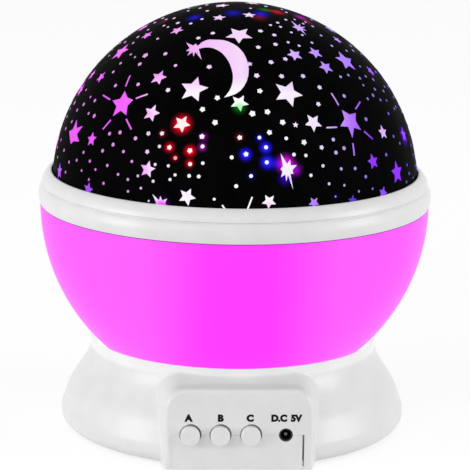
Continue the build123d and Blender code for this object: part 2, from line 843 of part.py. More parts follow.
# ---- Motor, gear frame and gears ----
with BuildPart() as motor_can:
    with Locations((*motor_spot, frame_z)):
        Cylinder(motor_radius, motor_length, align=top)
        Cylinder(motor_boss_radius, motor_boss_height, align=low)
        Cylinder(axle_radius + axle_gap, 2 * motor_length, mode=Mode.SUBTRACT)
    with Locations(*[(x, y, frame_z) for x, y in motor_screw_spots]):
        Cylinder(
            motor_screw_shank + thread_gap, motor_screw_bite + bore_clearance, align=top, mode=Mode.SUBTRACT
        )
    rims = motor_can.edges().filter_by(GeomType.CIRCLE)
    fillet(rims.filter_by(lambda edge: edge.radius == motor_radius), motor_edge_round)
motor_can.part.label = "motor_can"
export_step(motor_can.part, "parts/motor_can.step")

with BuildPart() as motor_shaft:
    with Locations((*motor_spot, lower_wheel_z + train_wheel_thickness)):
        Cylinder(axle_radius, train_wheel_thickness + motor_length, align=top)
motor_shaft.part.label = "motor_shaft"
export_step(motor_shaft.part, "parts/motor_shaft.step")

with BuildPart() as motor_pinion:
    with BuildSketch(Plane((*motor_spot, lower_wheel_z))):
        gear_sketch(pinion_teeth, train_module, gap_angle(motor_angle, pinion_teeth))
        Circle(axle_radius + axle_fit, mode=Mode.SUBTRACT)
    extrude(amount=train_wheel_thickness)
motor_pinion.part.label = "motor_pinion"
export_step(motor_pinion.part, "parts/motor_pinion.step")

with BuildPart() as motor_screws:
    motor_screw_length = frame_thickness + motor_screw_bite
    pan_screws(motor_screw_spots, frame_top_z, -1, motor_screw_length, motor_screw_head, motor_screw_shank)
motor_screws.part.label = "motor_screws"
export_step(motor_screws.part, "parts/motor_screws.step")

with BuildPart() as gear_frame:
    with BuildSketch(Plane.XY.offset(frame_z)):
        with Locations(drive_spot, idler_spot):
            Circle(frame_margin)
        with Locations(motor_spot):
            Circle(motor_radius)
        with Locations(*post_spots):
            Circle(post_radius + 1)
        make_hull()
    extrude(amount=frame_thickness)
    with Locations((*idler_spot, frame_top_z)):
        Cylinder(axle_radius + axle_boss_wall, frame_boss_height, align=low)
    with Locations((*idler_spot, frame_z), (*drive_spot, frame_z)):
        Cylinder(axle_radius + axle_fit, 4 * frame_thickness, mode=Mode.SUBTRACT)
    with Locations((*motor_spot, frame_z)):
        Cylinder(motor_boss_radius + bore_clearance, 4 * frame_thickness, mode=Mode.SUBTRACT)
    with Locations(*[(x, y, frame_z) for x, y in post_spots]):
        Cylinder(screw_shank + screw_hole_gap, 4 * frame_thickness, mode=Mode.SUBTRACT)
    with Locations(*[(x, y, frame_z) for x, y in motor_screw_spots]):
        Cylinder(motor_screw_shank + screw_hole_gap, 4 * frame_thickness, mode=Mode.SUBTRACT)
gear_frame.part.label = "gear_frame"
export_step(gear_frame.part, "parts/gear_frame.step")

with BuildPart() as frame_screws:
    pan_screws(post_spots, frame_z, 1, screw_bite)
frame_screws.part.label = "frame_screws"
export_step(frame_screws.part, "parts/frame_screws.step")

with BuildPart() as gear_axles:
    with Locations((*idler_spot, frame_z)):
        Cylinder(axle_radius, deck_top_z - 0.7 - frame_z, align=low)
    with Locations((*drive_spot, frame_z)):
        Cylinder(axle_radius, bowl_floor_z - running_gap - frame_z, align=low)
gear_axles.part.label = "gear_axles"
export_step(gear_axles.part, "parts/gear_axles.step")

with BuildPart() as idler_gear:
    with BuildSketch(Plane((*idler_spot, lower_wheel_z))):
        gear_sketch(wheel_teeth, train_module, motor_angle)
    extrude(amount=train_wheel_thickness)
    with BuildSketch(Plane((*idler_spot, lower_wheel_z + train_wheel_thickness))):
        gear_sketch(pinion_teeth, train_module, gap_angle(idler_angle, pinion_teeth))
    extrude(amount=train_wheel_thickness + bore_clearance)
    with Locations((*idler_spot, frame_z)):
        Cylinder(axle_radius + axle_gap, 2 * deck_z, mode=Mode.SUBTRACT)
idler_gear.part.label = "idler_gear"
export_step(idler_gear.part, "parts/idler_gear.step")

with BuildPart() as drive_gear:
    with BuildSketch(Plane((*drive_spot, upper_wheel_z))):
        gear_sketch(wheel_teeth, train_module, idler_angle)
    extrude(amount=train_wheel_thickness)
    with Locations((*drive_spot, frame_top_z + thrust_gap)):
        Cylinder(spacer_radius, upper_wheel_z - frame_top_z - thrust_gap, align=low)
    with Locations((*drive_spot, upper_wheel_z)):
        Cylinder(drive_shaft_radius, hub_z - upper_wheel_z, align=low)
    with BuildSketch(Plane((*drive_spot, hub_z - bore_clearance))):
        gear_sketch(drive_pinion_teeth, drive_module, gap_angle(drive_angle, drive_pinion_teeth))
    extrude(amount=hub_thickness - running_gap + bore_clearance)
    with Locations((*drive_spot, frame_z)):
        Cylinder(axle_radius + axle_gap, 2 * deck_z, mode=Mode.SUBTRACT)
drive_gear.part.label = "drive_gear"
export_step(drive_gear.part, "parts/drive_gear.step")

with BuildPart() as hub_gear:
    with BuildSketch(Plane.XY.offset(hub_z)):
        gear_sketch(hub_teeth, drive_module, drive_angle)
        Circle(journal_radius + hub_bore_gap, mode=Mode.SUBTRACT)
        with Locations(*hub_screw_spots):
            Circle(screw_shank + thread_gap, mode=Mode.SUBTRACT)
    extrude(amount=hub_thickness)
hub_gear.part.label = "hub_gear"
export_step(hub_gear.part, "parts/hub_gear.step")

with BuildPart() as hub_screws:
    hub_screw_length = bowl_floor_thickness + hub_thickness - 2 * bore_clearance
    pan_screws(hub_screw_spots, bowl_floor_z + bowl_floor_thickness, -1, hub_screw_length)
hub_screws.part.label = "hub_screws"
export_step(hub_screws.part, "parts/hub_screws.step")

# ---- Bowl with its rim band ----
bowl_inner_radius = bowl_radius - bowl_wall
with BuildPart() as bowl:
    with BuildSketch(Plane.XZ):
        with BuildLine():
            outside = ThreePointArc(
                (ball_radius(bowl_radius, bowl_centre_z, bowl_floor_z), bowl_floor_z),
                (bowl_radius * cos(pi / 6), bowl_centre_z - bowl_radius * sin(pi / 6)),
                (bowl_radius, bowl_centre_z),
            )
            inside = ThreePointArc(
                (bowl_inner_radius, bowl_centre_z),
                (bowl_inner_radius * cos(pi / 6), bowl_centre_z - bowl_inner_radius * sin(pi / 6)),
                (ball_radius(bowl_inner_radius, bowl_centre_z, bowl_floor_top_z), bowl_floor_top_z),
            )
            Line(outside @ 1, inside @ 0)
            Polyline(
                inside @ 1,
                (journal_radius + running_gap, bowl_floor_top_z),
                (journal_radius + running_gap, bowl_floor_z),
                outside @ 0,
            )
        make_face()
    revolve()
    with Locations(*[(x, y, bowl_floor_z) for x, y in hub_screw_spots]):
        Cylinder(screw_shank + screw_hole_gap, 4 * bowl_floor_thickness, mode=Mode.SUBTRACT)
bowl.part.label = "bowl"
export_step(bowl.part, "parts/bowl.step")

spigot_radius = ball_radius(bowl_inner_radius, bowl_centre_z, bowl_centre_z - spigot_depth) - bore_clearance
with BuildPart() as bowl_rim:
    with BuildSketch(Plane.XZ):
        with BuildLine():
            bulge = ThreePointArc(
                (bowl_radius, band_bottom_z),
                (band_bulge_radius, band_bottom_z + 0.36 * (seam_z - band_bottom_z)),
                (seam_radius + seam_chamfer, seam_z - seam_chamfer),
            )
            Polyline(
                bulge @ 1,
                (seam_radius, seam_z),
                (band_inner_radius, seam_z),
                (band_inner_radius, band_floor_top_z),
                (spigot_radius - spigot_wall, band_floor_top_z),
                (spigot_radius - spigot_wall, bowl_centre_z - spigot_depth),
                (spigot_radius, bowl_centre_z - spigot_depth),
                (spigot_radius, band_bottom_z),
                bulge @ 0,
            )
        make_face()
    revolve()
    catch_z = lug_z + lug_height + running_gap
    lugs(lug_catch_radius, band_inner_radius + seam_chamfer, catch_z)
bowl_rim.part.label = "bowl_rim"
export_step(bowl_rim.part, "parts/bowl_rim.step")

# ---- Ring that holds the dome, with its bayonet neck ----
step_z = dome_edge_z - dome_skirt_wall / 2
bead_top_z = dome_bead_z + dome_bead_height / 2
bead_bottom_z = dome_bead_z - dome_bead_height / 2
with BuildPart() as dome_ring:
    with BuildSketch(Plane.XZ):
        with BuildLine():
            crown = ThreePointArc(
                (seam_radius + seam_chamfer / 2, ring_bottom_z + seam_chamfer),
                ((seam_radius + ring_lip_radius) / 2 + ring_crown, (ring_bottom_z + 2 * ring_top_z) / 3),
                (ring_lip_radius, ring_top_z),
            )
            Polyline(
                crown @ 1,
                (dome_radius + running_gap, ring_top_z),
                (dome_radius + running_gap / 2, ring_top_z - running_gap),
                (dome_radius + running_gap / 2, step_z - running_gap),
                (ring_inner_radius, step_z - running_gap),
                (ring_inner_radius, bead_top_z + running_gap),
                (dome_bead_radius + running_gap, bead_top_z + running_gap),
                (dome_bead_radius + running_gap, bead_bottom_z - running_gap),
                (ring_inner_radius, bead_bottom_z - running_gap),
                (ring_inner_radius, neck_bottom_z),
                (neck_outer_radius, neck_bottom_z),
                (neck_outer_radius, ring_bottom_z),
                (seam_radius - seam_chamfer, ring_bottom_z),
                crown @ 0,
            )
        make_face()
    revolve()
    lugs(neck_outer_radius - seam_chamfer, lug_face_radius, lug_z)
dome_ring.part.label = "dome_ring"
export_step(dome_ring.part, "parts/dome_ring.step")

# ---- Star dome: ball above the ring, straight skirt with a snap bead inside it ----
dome_inner_radius = dome_radius - dome_wall
skirt_inner_radius = dome_skirt_radius - dome_skirt_wall
shoulder_z = dome_edge_z + dome_skirt_wall
with BuildPart() as star_dome:
    with BuildSketch(Plane.XZ):
        with BuildLine():
            outside = ThreePointArc(
                (0, dome_centre_z + dome_radius),
                (dome_radius * sin(pi / 4), dome_centre_z + dome_radius * cos(pi / 4)),
                (ball_radius(dome_radius, dome_centre_z, dome_edge_z), dome_edge_z),
            )
            inside = ThreePointArc(
                (0, dome_centre_z + dome_inner_radius),
                (dome_inner_radius * sin(pi / 4), dome_centre_z + dome_inner_radius * cos(pi / 4)),
                (ball_radius(dome_inner_radius, dome_centre_z, shoulder_z), shoulder_z),
            )
            Polyline(
                outside @ 1,
                (dome_skirt_radius, step_z),
                (dome_skirt_radius, bead_top_z),
                (dome_bead_radius, dome_bead_z),
                (dome_skirt_radius, bead_bottom_z),
                (dome_skirt_radius, dome_skirt_bottom_z),
                (skirt_inner_radius, dome_skirt_bottom_z),
                (skirt_inner_radius, step_z),
                inside @ 1,
            )
            Line(inside @ 0, outside @ 0)
        make_face()
    revolve()
star_dome.part.label = "star_dome"
export_step(star_dome.part, "parts/star_dome.step")

# ---- Lamp pillar: journal that the bowl turns on, tube and cup for the lamp board ----
flange_z = bowl_floor_top_z + running_gap
flange_top_z = flange_z + journal_flange_thickness
with BuildPart() as led_pillar:
    with BuildSketch(Plane.XZ):
        with BuildLine():
            Polyline(
                (pillar_bore, deck_top_z),
                (journal_radius, deck_top_z),
                (journal_radius, flange_z),
                (journal_flange_radius, flange_z),
                (journal_flange_radius, flange_top_z),
                (pillar_radius, flange_top_z),
                (pillar_radius, pillar_head_z - (pillar_head_radius - pillar_radius)),
                (pillar_head_radius, pillar_head_z),
                (pillar_head_radius, pillar_top_z),
                (lamp_board_radius + bore_clearance, pillar_top_z),
                (lamp_board_radius + bore_clearance, lamp_board_z),
                (pillar_bore, lamp_board_z),
                close=True,
            )
        make_face()
    revolve()
    with Locations(*[(x, y, deck_top_z) for x, y in pillar_screw_spots]):
        Cylinder(screw_shank + thread_gap, screw_bite, align=low, mode=Mode.SUBTRACT)
led_pillar.part.label = "led_pillar"
export_step(led_pillar.part, "parts/led_pillar.step")

with BuildPart() as pillar_screws:
    pan_screws(pillar_screw_spots, deck_z, 1, screw_bite)
pillar_screws.part.label = "pillar_screws"
export_step(pillar_screws.part, "parts/pillar_screws.step")

with BuildPart() as led_board:
    with Locations((0, 0, lamp_board_z)):
        Cylinder(lamp_board_radius, lamp_board_thickness, align=low)
led_board.part.label = "led_board"
export_step(led_board.part, "parts/led_board.step")

led_z = lamp_board_z + lamp_board_thickness
for index, name in enumerate(led_names):
    with BuildPart() as led:
        with Locations((*step((0, 0), led_circle, 45 + 90 * index), led_z)):
            Cylinder(led_flange_radius, led_flange_height, align=low)
            Cylinder(led_radius, led_height, align=low)
        fillet(led.edges().group_by(Axis.Z)[-1], led_radius * 0.96)
    led.part.label = name
    export_step(led.part, f"parts/{name}.step")

# ---- Wires, as they lie in the base and the pillar ----
with BuildPart() as lamp_wires:
    for wire in range(lamp_wire_count):
        x = wire_lane * (wire - (lamp_wire_count - 1) / 2)
        with BuildLine() as route:
            FilletPolyline(
                (x, 0, lamp_board_z),
                (x, 0, lamp_wire_z),
                (x, -(board_y - board_thickness), lamp_wire_z),
                radius=lamp_wire_bend,
            )
        with BuildSketch(Plane(origin=route.line @ 0, z_dir=route.line % 0)):
            Circle(wire_radius)
        sweep(path=route.line)
lamp_wires.part.label = "lamp_wires"
export_step(lamp_wires.part, "parts/lamp_wires.step")

with BuildPart() as motor_wires:
    for lane in (0, 1):
        x = motor_spot[0] - motor_radius / 2 - wire_lane * lane
        start_y = motor_spot[1] - sqrt(motor_radius**2 - (motor_spot[0] - x - wire_radius) ** 2)
        turn_y = -(board_y - motor_wire_room - wire_lane * lane)
        end_x = board_half_width - motor_wire_inset - wire_lane * lane
        with BuildLine() as route:
            FilletPolyline(
                (x, start_y - axle_gap, motor_wire_z),
                (x, turn_y, motor_wire_z),
                (end_x, turn_y, motor_wire_z),
                (end_x, -(board_y - board_thickness), motor_wire_z),
                radius=wire_bend,
            )
        with BuildSketch(Plane(origin=route.line @ 0, z_dir=route.line % 0)):
            Circle(wire_radius)
        sweep(path=route.line)
motor_wires.part.label = "motor_wires"
export_step(motor_wires.part, "parts/motor_wires.step")

with BuildPart() as battery_wires:
    with BuildSketch(Plane.XZ.offset(-(bay_front_y + contact_gap))):
        with Locations((cell_xs[0], cell_axis_z), (cell_xs[-1], cell_axis_z)):
            Circle(wire_radius)
    extrude(amount=board_y - board_thickness + bay_front_y + contact_gap)
battery_wires.part.label = "battery_wires"
export_step(battery_wires.part, "parts/battery_wires.step")
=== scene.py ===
import bmesh
import bpy
import random
from math import cos, pi, radians, sin, sqrt
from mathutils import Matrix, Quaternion, Vector


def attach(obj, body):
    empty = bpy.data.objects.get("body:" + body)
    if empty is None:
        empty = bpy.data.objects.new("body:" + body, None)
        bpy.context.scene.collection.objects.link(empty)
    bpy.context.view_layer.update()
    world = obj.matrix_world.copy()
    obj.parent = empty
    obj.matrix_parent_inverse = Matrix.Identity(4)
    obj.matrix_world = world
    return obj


# Star night light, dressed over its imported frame. Metres, +Z up, the control block faces -Y.
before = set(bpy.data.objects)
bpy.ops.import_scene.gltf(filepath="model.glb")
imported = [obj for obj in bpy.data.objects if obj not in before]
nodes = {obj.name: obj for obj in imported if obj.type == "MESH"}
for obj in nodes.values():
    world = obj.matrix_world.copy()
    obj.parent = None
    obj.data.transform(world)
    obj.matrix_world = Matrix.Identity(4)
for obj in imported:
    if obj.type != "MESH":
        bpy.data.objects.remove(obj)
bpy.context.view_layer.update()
mm = 0.001
print("frame loaded:", len(nodes), "nodes")

# The camera stands a metre off, a little above the lamp and a little left of its block.
viewpoint = {
    "azimuth": -2.45,
    "elevation": 13.0,
    "distance": 1.0,
    "aim": (0.0003, 0.0, 0.065),
    "lens": 228,
    "sensor": 36,
    "clip": (0.05, 20),
    "roll": 0.75,
}


def newObject(name, data):
    made = bpy.data.objects.new(name, data)
    bpy.context.collection.objects.link(made)
    return made


def placeCamera():
    azimuth, elevation = radians(viewpoint["azimuth"]), radians(viewpoint["elevation"])
    back = Vector((sin(azimuth) * cos(elevation), -cos(azimuth) * cos(elevation), sin(elevation)))
    data = bpy.data.cameras.new("camera")
    data.lens, data.sensor_width = viewpoint["lens"], viewpoint["sensor"]
    data.clip_start, data.clip_end = viewpoint["clip"]
    camera = newObject("camera", data)
    camera.location = Vector(viewpoint["aim"]) + back * viewpoint["distance"]
    camera.rotation_mode = "QUATERNION"
    rolled = Quaternion((0, 0, 1), radians(viewpoint["roll"]))
    camera.rotation_quaternion = (-back).to_track_quat("-Z", "Y") @ rolled
    bpy.context.scene.camera = camera


placeCamera()


# Materials: sRGB hex in, linear out; one helper adds a node with its inputs and settings.
def linear(hexColour):
    parts = [int(hexColour[i:i + 2], 16) / 255 for i in (1, 3, 5)]
    return [c / 12.92 if c <= 0.04045 else ((c + 0.055) / 1.055) ** 2.4 for c in parts] + [1.0]


def addNode(tree, kind, inputs=None, **settings):
    # Each input, by socket name or number, is a value or another node's output.
    node = tree.nodes.new(kind)
    for name, value in settings.items():
        setattr(node, name, value)
    for socket, given in (inputs or {}).items():
        if isinstance(given, bpy.types.NodeSocket):
            tree.links.new(given, node.inputs[socket])
        else:
            node.inputs[socket].default_value = given
    return node


def maths(tree, operation, *inputs):
    return addNode(tree, "ShaderNodeMath", dict(enumerate(inputs)), operation=operation).outputs[0]


def vectorMaths(tree, operation, *inputs):
    node = addNode(tree, "ShaderNodeVectorMath", dict(enumerate(inputs)), operation=operation)
    return node.outputs["Value" if operation in ("LENGTH", "DISTANCE", "DOT_PRODUCT") else "Vector"]


def axesOf(tree, vector):
    return addNode(tree, "ShaderNodeSeparateXYZ", {"Vector": vector}).outputs


def ranged(tree, value, start, end, high=1.0, low=0.0, kind="LINEAR"):
    # Low where the value is at start, high at end, and held beyond both.
    inputs = {"Value": value, "From Min": start, "From Max": end, "To Min": low, "To Max": high}
    return addNode(tree, "ShaderNodeMapRange", inputs, interpolation_type=kind).outputs["Result"]


def blended(tree, share, low, high):
    # Mix of two colours.
    return addNode(tree, "ShaderNodeMix", {0: share, 6: low, 7: high}, data_type="RGBA").outputs[2]


def startMaterial(name, values):
    material = bpy.data.materials.new(name)
    material.use_nodes = True
    tree = material.node_tree
    tree.nodes.clear()
    shader = addNode(tree, "ShaderNodeBsdfPrincipled", values)
    addNode(tree, "ShaderNodeOutputMaterial", {"Surface": shader.outputs["BSDF"]})
    place = addNode(tree, "ShaderNodeTexCoord").outputs["Object"]
    return material, tree, shader, place


grainSpan = (0.35, 0.65)  # part of the noise over which tones and roughness change
reliefStrength = 0.35


def roughen(tree, shader, place, size, rough, bump):
    # Two roughnesses in soft patches of a size in metres, with the same relief.
    inputs = {"Scale": 1 / size, "Detail": 4, "Vector": place}
    grain = addNode(tree, "ShaderNodeTexNoise", inputs).outputs["Fac"]
    tree.links.new(ranged(tree, grain, *grainSpan, rough[1], rough[0]), shader.inputs["Roughness"])
    inputs = {"Strength": reliefStrength, "Distance": bump, "Height": grain}
    relief = addNode(tree, "ShaderNodeBump", inputs)
    tree.links.new(relief.outputs["Normal"], shader.inputs["Normal"])
    return grain


def mottle(tree, shader, place, size, low, high, rough, bump):
    # The same patches in two tones as well.
    tones = addNode(tree, "ShaderNodeValToRGB", {"Fac": roughen(tree, shader, place, size, rough, bump)})
    for element, position, colour in zip(tones.color_ramp.elements, grainSpan, (low, high)):
        element.position, element.color = position, linear(colour)
    tree.links.new(tones.outputs["Color"], shader.inputs["Base Color"])
    return tones.outputs["Color"]


def mottled(name, low, high, rough, size=0.004, bump=0.00003, **values):
    material, tree, shader, place = startMaterial(name, values)
    mottle(tree, shader, place, size, low, high, rough, bump)
    return material


# Plastics, rubber, board, metals and ink: two close tones and roughnesses in soft patches.
# The white ABS is off-white, with a satin gloss and faint flow marks.
whiteAbs = mottled("whiteMouldedAbs", "#eaeaea", "#efefef", (0.30, 0.36), size=0.009, IOR=1.53)
capAbs = mottled("whiteCapAbs", "#ebebeb", "#eeeeee", (0.24, 0.3), size=0.006, bump=0.000006, IOR=1.53)
blackNylon = mottled("blackMouldedNylon", "#0c0c0d", "#131314", (0.35, 0.5), size=0.002, IOR=1.53)
greyAbs = mottled("greyMouldedAbs", "#b9babc", "#c3c4c6", (0.35, 0.45), size=0.006, IOR=1.53)
gearNylon = mottled("mouldedNylon", "#ece6d6", "#f3efe2", (0.38, 0.5), size=0.002, IOR=1.53)
rubber = mottled("mouldedRubber", "#b8b7b4", "#c6c5c2", (0.7, 0.85), size=0.0008, bump=0.00005, IOR=1.52)
solderMask = mottled("glassEpoxyBoard", "#14603a", "#1b7043", (0.25, 0.4), size=0.0015, IOR=1.55)
screwSteel = mottled("zincPlatedSteel", "#a9abad", "#c9cbce", (0.22, 0.4), size=0.0006, Metallic=1.0)
axleSteel = mottled("groundSteel", "#b9bbbd", "#d2d3d5", (0.15, 0.25), size=0.0004, Metallic=1.0)
motorSteel = mottled("drawnSteelCan", "#9da0a3", "#bcbfc2", (0.25, 0.38), size=0.003, Metallic=1.0)
nickel = mottled("nickelPlatedSpring", "#c8c4ba", "#dedad0", (0.2, 0.3), size=0.0005, Metallic=1.0)
pinSteel = mottled("dullPlatedPin", "#55565a", "#6c6d70", (0.3, 0.45), size=0.0004, Metallic=1.0)
brass = mottled("turnedBrass", "#b8964a", "#d6b566", (0.2, 0.32), size=0.0004, Metallic=1.0)
cellSleeve = mottled("shrinkSleeve", "#2b4a86", "#35579a", (0.22, 0.32), size=0.004, IOR=1.5)
wireJacket = mottled("pvcWireJacket", "#9c1f1c", "#b02722", (0.4, 0.5), size=0.001, IOR=1.53)
lampInk = mottled(
    "padPrintInk", "#070707", "#0d0d0d", (0.5, 0.65), size=0.0008, IOR=1.5, **{"Specular IOR Level": 0.12}
)

shellForm = {
    "grain": 9 * mm,
    "tones": ("#eaeaea", "#efefef"),
    "paintedShadeTone": "#2c2c2c",
    "face": -57.0 * mm,
    "faceReach": (2 * mm, 1 * mm),  # behind the face, where the painted shade on it comes in
    "buttons": (-15.75, -6.05, 3.8),  # x of the button holes, in millimetres
    "buttonHeight": 12.2 * mm,
    "holeRing": (3.76 * mm, 3.54 * mm),  # radii over which a hole's painted shade comes in
    "holeToward": radians(52),  # its shaded side, clockwise from up
    "holeTurn": (0.1, 0.8, 0.9),  # cosines from that side over which it comes in, and its depth
    "slot": ((20.75 * mm, -57.0 * mm, 7.0 * mm), (0.32 * mm, 1.0 * mm, 5.2 * mm)),  # middle and half size of the painted shade in the tab's slot
    "slotEdge": (1.05, 0.95, 0.8),  # shares of the half size over which it comes in, and its depth
    "ledge": ((0, -54.0 * mm, 27.4 * mm), (32.0 * mm, 3.0 * mm, 1.6 * mm)),  # painted shade on the block's top, behind its top edge: middle, half size
    "ledgeEdge": (1.0, 0.5, 0.1),  # the same
    "neck": (48.1 * mm, 47.6 * mm, 0.4),  # radii over which a glow is painted in the gap, and its strength
    "neckHeight": (17.68 * mm, 21.68 * mm),  # heights over which it comes in
    "rim": (31.28 * mm, 31.68 * mm, 0.12),  # heights over which a highlight is painted on the rim's edge, and its strength
}


def shellAbs():
    # The same white ABS on the base shell, with a painted glow in the gap under the bowl and a painted
    # highlight along the rim's edge.
    # Painted shade lies in the button holes' upper right edges, the tab's slot and behind the block's
    # edge.
    material, tree, shader, place = startMaterial("whiteBaseAbs", {"IOR": 1.53, "Emission Strength": 1.0})
    form = shellForm
    tones = mottle(tree, shader, place, form["grain"], *form["tones"], rough=(0.30, 0.36), bump=0.00003)
    axes = axesOf(tree, place)
    toward = (sin(form["holeToward"]), 0, cos(form["holeToward"]))
    # Painted shade: the button holes' upper right edges, the tab's slot and the block's top behind its
    # edge.
    shade = 0.0
    for x in form["buttons"]:
        away = vectorMaths(tree, "SUBTRACT", place, (x * mm, form["face"], form["buttonHeight"]))
        flat = vectorMaths(tree, "MULTIPLY", away, (1, 0, 1))
        side = vectorMaths(tree, "DOT_PRODUCT", vectorMaths(tree, "NORMALIZE", flat), toward)
        near = ranged(tree, vectorMaths(tree, "LENGTH", flat), *form["holeRing"], kind="SMOOTHSTEP")
        turned = ranged(tree, side, *form["holeTurn"], kind="SMOOTHSTEP")
        shade = maths(tree, "MAXIMUM", shade, maths(tree, "MULTIPLY", near, turned))

    def boxShare(middle, half):
        return vectorMaths(tree, "DIVIDE", vectorMaths(tree, "SUBTRACT", place, middle), half)

    sides = axesOf(tree, vectorMaths(tree, "ABSOLUTE", boxShare(*form["slot"])))
    slot = ranged(tree, maths(tree, "MAXIMUM", sides["X"], sides["Z"]), *form["slotEdge"])
    front = ranged(tree, axes["Y"], *(form["face"] + reach for reach in form["faceReach"]))
    shade = maths(tree, "MULTIPLY", maths(tree, "MAXIMUM", shade, slot), front)
    off = vectorMaths(tree, "LENGTH", boxShare(*form["ledge"]))
    shade = maths(tree, "MAXIMUM", shade, ranged(tree, off, *form["ledgeEdge"], kind="SMOOTHSTEP"))
    tree.links.new(blended(tree, shade, tones, linear(form["paintedShadeTone"])), shader.inputs["Base Color"])

    # Painted glow on the neck's inner wall in the gap under the bowl, and a painted highlight along the
    # rim's edge.
    radius = vectorMaths(tree, "LENGTH", vectorMaths(tree, "MULTIPLY", place, (1, 1, 0)))
    inside, high = ranged(tree, radius, *form["neck"]), ranged(tree, axes["Z"], *form["neckHeight"])
    edge = ranged(tree, axes["Z"], *form["rim"])
    paintedGlow = maths(tree, "MAXIMUM", maths(tree, "MULTIPLY", inside, high), edge)
    tree.links.new(paintedGlow, shader.inputs["Emission Color"])
    return material


baseAbs = shellAbs()


def epoxyLens(name, colour, glow):
    # Cast epoxy lens: clear and glossy, lit by the die inside it.
    return mottled(
        name, colour, colour, (0.08, 0.14), size=0.001, IOR=1.5,
        **{"Emission Color": linear(glow), "Emission Strength": 0.8},
    )


lensFinish = {
    "led_red": epoxyLens("redLampEpoxy", "#e0403a", "#ff2a20"),
    "led_green": epoxyLens("greenLampEpoxy", "#4ad060", "#22e04a"),
    "led_blue": epoxyLens("blueLampEpoxy", "#4a64e8", "#2848ff"),
    "led_white": epoxyLens("whiteLampEpoxy", "#f2eee0", "#fff2d8"),
}

pinkForm = {
    "light": ("#f058f0", "#ff50ff"),  # base colour and glow at the sides of the bowl, lighter there as a painted sheen
    "deep": ("#ee3aee", "#ff30ff"),  # towards its front and back
    "paintedShaded": ("#7a2480", "#400848"),  # painted shade under the white band's edge
    "bounced": ("#bcb8bc", "#909090"),  # what the white parts get from it
    "deepSpan": (34 * mm, 6.8 * mm),  # distances from the middle plane over which the deep part comes in
    "shadeSpan": (76.42 * mm, 76.87 * mm),
}


def pinkShell():
    # Translucent moulded polystyrene with a painted glow: a saturated pink that hardly darkens with its
    # slope, under a clear gloss. What it throws on the white parts stays neutral.
    material, tree, shader, place = startMaterial(
        "pinkTranslucentShell", {"IOR": 1.57, "Emission Strength": 0.4, "Specular IOR Level": 0.04}
    )
    form = pinkForm
    roughen(tree, shader, place, size=0.03, rough=(0.3, 0.36), bump=0.00002)
    axes = axesOf(tree, place)
    # Painted sheen: lighter pink at the sides, deeper towards the front and back.
    aside = maths(tree, "ABSOLUTE", axes["X"])
    deep = ranged(tree, aside, *form["deepSpan"], kind="SMOOTHSTEP")
    # Painted shade in a thin band under the white band's edge.
    shade = ranged(tree, axes["Z"], *form["shadeSpan"], kind="SMOOTHSTEP")
    path = addNode(tree, "ShaderNodeLightPath").outputs
    bounced = maths(tree, "MAXIMUM", path["Is Diffuse Ray"], path["Is Glossy Ray"])
    for column, socket in enumerate(("Base Color", "Emission Color")):
        colour = linear(form["light"][column])
        for share, tone in ((deep, "deep"), (shade, "paintedShaded"), (bounced, "bounced")):
            colour = blended(tree, share, colour, linear(form[tone][column]))
        tree.links.new(colour, shader.inputs[socket])
    return material


bowlPink = pinkShell()

# The dome's film is printed matt black inside; painted glows lie round a few windows as halos of the
# lamps' light, and near the top as painted reflections of the lamps.
domeForm = {"radius": 61.0 * mm, "centre": Vector((0, 0, 82.39 * mm)), "glowPower": 2.6}
paintedGlows = (
    # longitude right of the front, latitude, full strength within and gone beyond (mm), colour
    (-21.0, 29.4, 1.7, 4.7, "#f00026"),
    (-24, 22, 0.7, 2.7, "#d80018"),
    (-16.9, 21.4, 0.8, 3.0, "#f40022"),
    (-16.7, 17.7, 0.6, 2.3, "#c80016"),
    (-21.7, 19.1, 0.3, 2.2, "#90000e"),
    (-27.3, 26, 0.5, 2.3, "#70000c"),
    (-13.0, 25.9, 0.5, 2.5, "#6c0876"),
    (-13.1, 22.8, 0.5, 2.3, "#9c10a4"),
    (-1.1, 26.2, 0.5, 2.4, "#641010"),
    (0.9, 20.9, 0.9, 3.1, "#241cff"),
    (7.4, 22.9, 0.9, 3.0, "#241cff"),
    (7.7, 18.5, 1.0, 3.5, "#241cff"),
    (5.6, 25.8, 0.4, 2.3, "#1008b8"),
    (10.4, 18.0, 0.4, 3.4, "#1206c0"),
    (2.6, 14.5, 0.4, 2.3, "#08066c"),
    (13.6, 17.8, 1.5, 4.5, "#d008dc"),
    (13.2, 13.6, 0.6, 3.6, "#3400b0"),
    (16.4, 16.0, 0.8, 3.4, "#8c04b4"),
    (-1.1, 35.6, 0.9, 3.4, "#08640c"),
    (67.3, 10.9, 0.4, 2.0, "#0a0a60"),
    (29.5, 6.9, 0.3, 1.8, "#080850"),
    (71.5, 19.5, 1.2, 5.0, "#4a0ab8"),
    (-24.5, 4.4, 1.0, 4.6, "#3a0866"),
    (-50.5, 72.2, 0.5, 4.2, "#1c12c8"),
    (-8, 78.4, 0.5, 5.0, "#1410b0"),
    (32.8, 77.1, 0.5, 4.6, "#1a12d8"),
    (53.7, 79.8, 0.5, 3.8, "#0c7016"),
    (63.9, 76.4, 0.6, 4.4, "#c00c24"),
    (78.5, 69.5, 0.6, 4.2, "#b00cb0"),
    (73.3, 66.7, 0.5, 3.2, "#780c14"),
    (24, 74.5, 0.5, 4.4, "#6c0a12"),
    (-78, 66, 0.5, 3.6, "#50100c"),
    (-100, 76, 0.5, 3.8, "#10580e"),
    (-120, 66, 0.5, 3.6, "#120c88"),
    (150, 80, 0.6, 4.4, "#a80e18"),
    (110, 72, 0.5, 3.8, "#1c10b8"),
    (-150, 78, 0.5, 4.0, "#8a0c80"),
    (158, 21, 0.9, 3.1, "#e00020"),
    (178, 19, 0.9, 3.1, "#241cff"),
    (-167, 17, 1.4, 5.0, "#b008c8"),
)


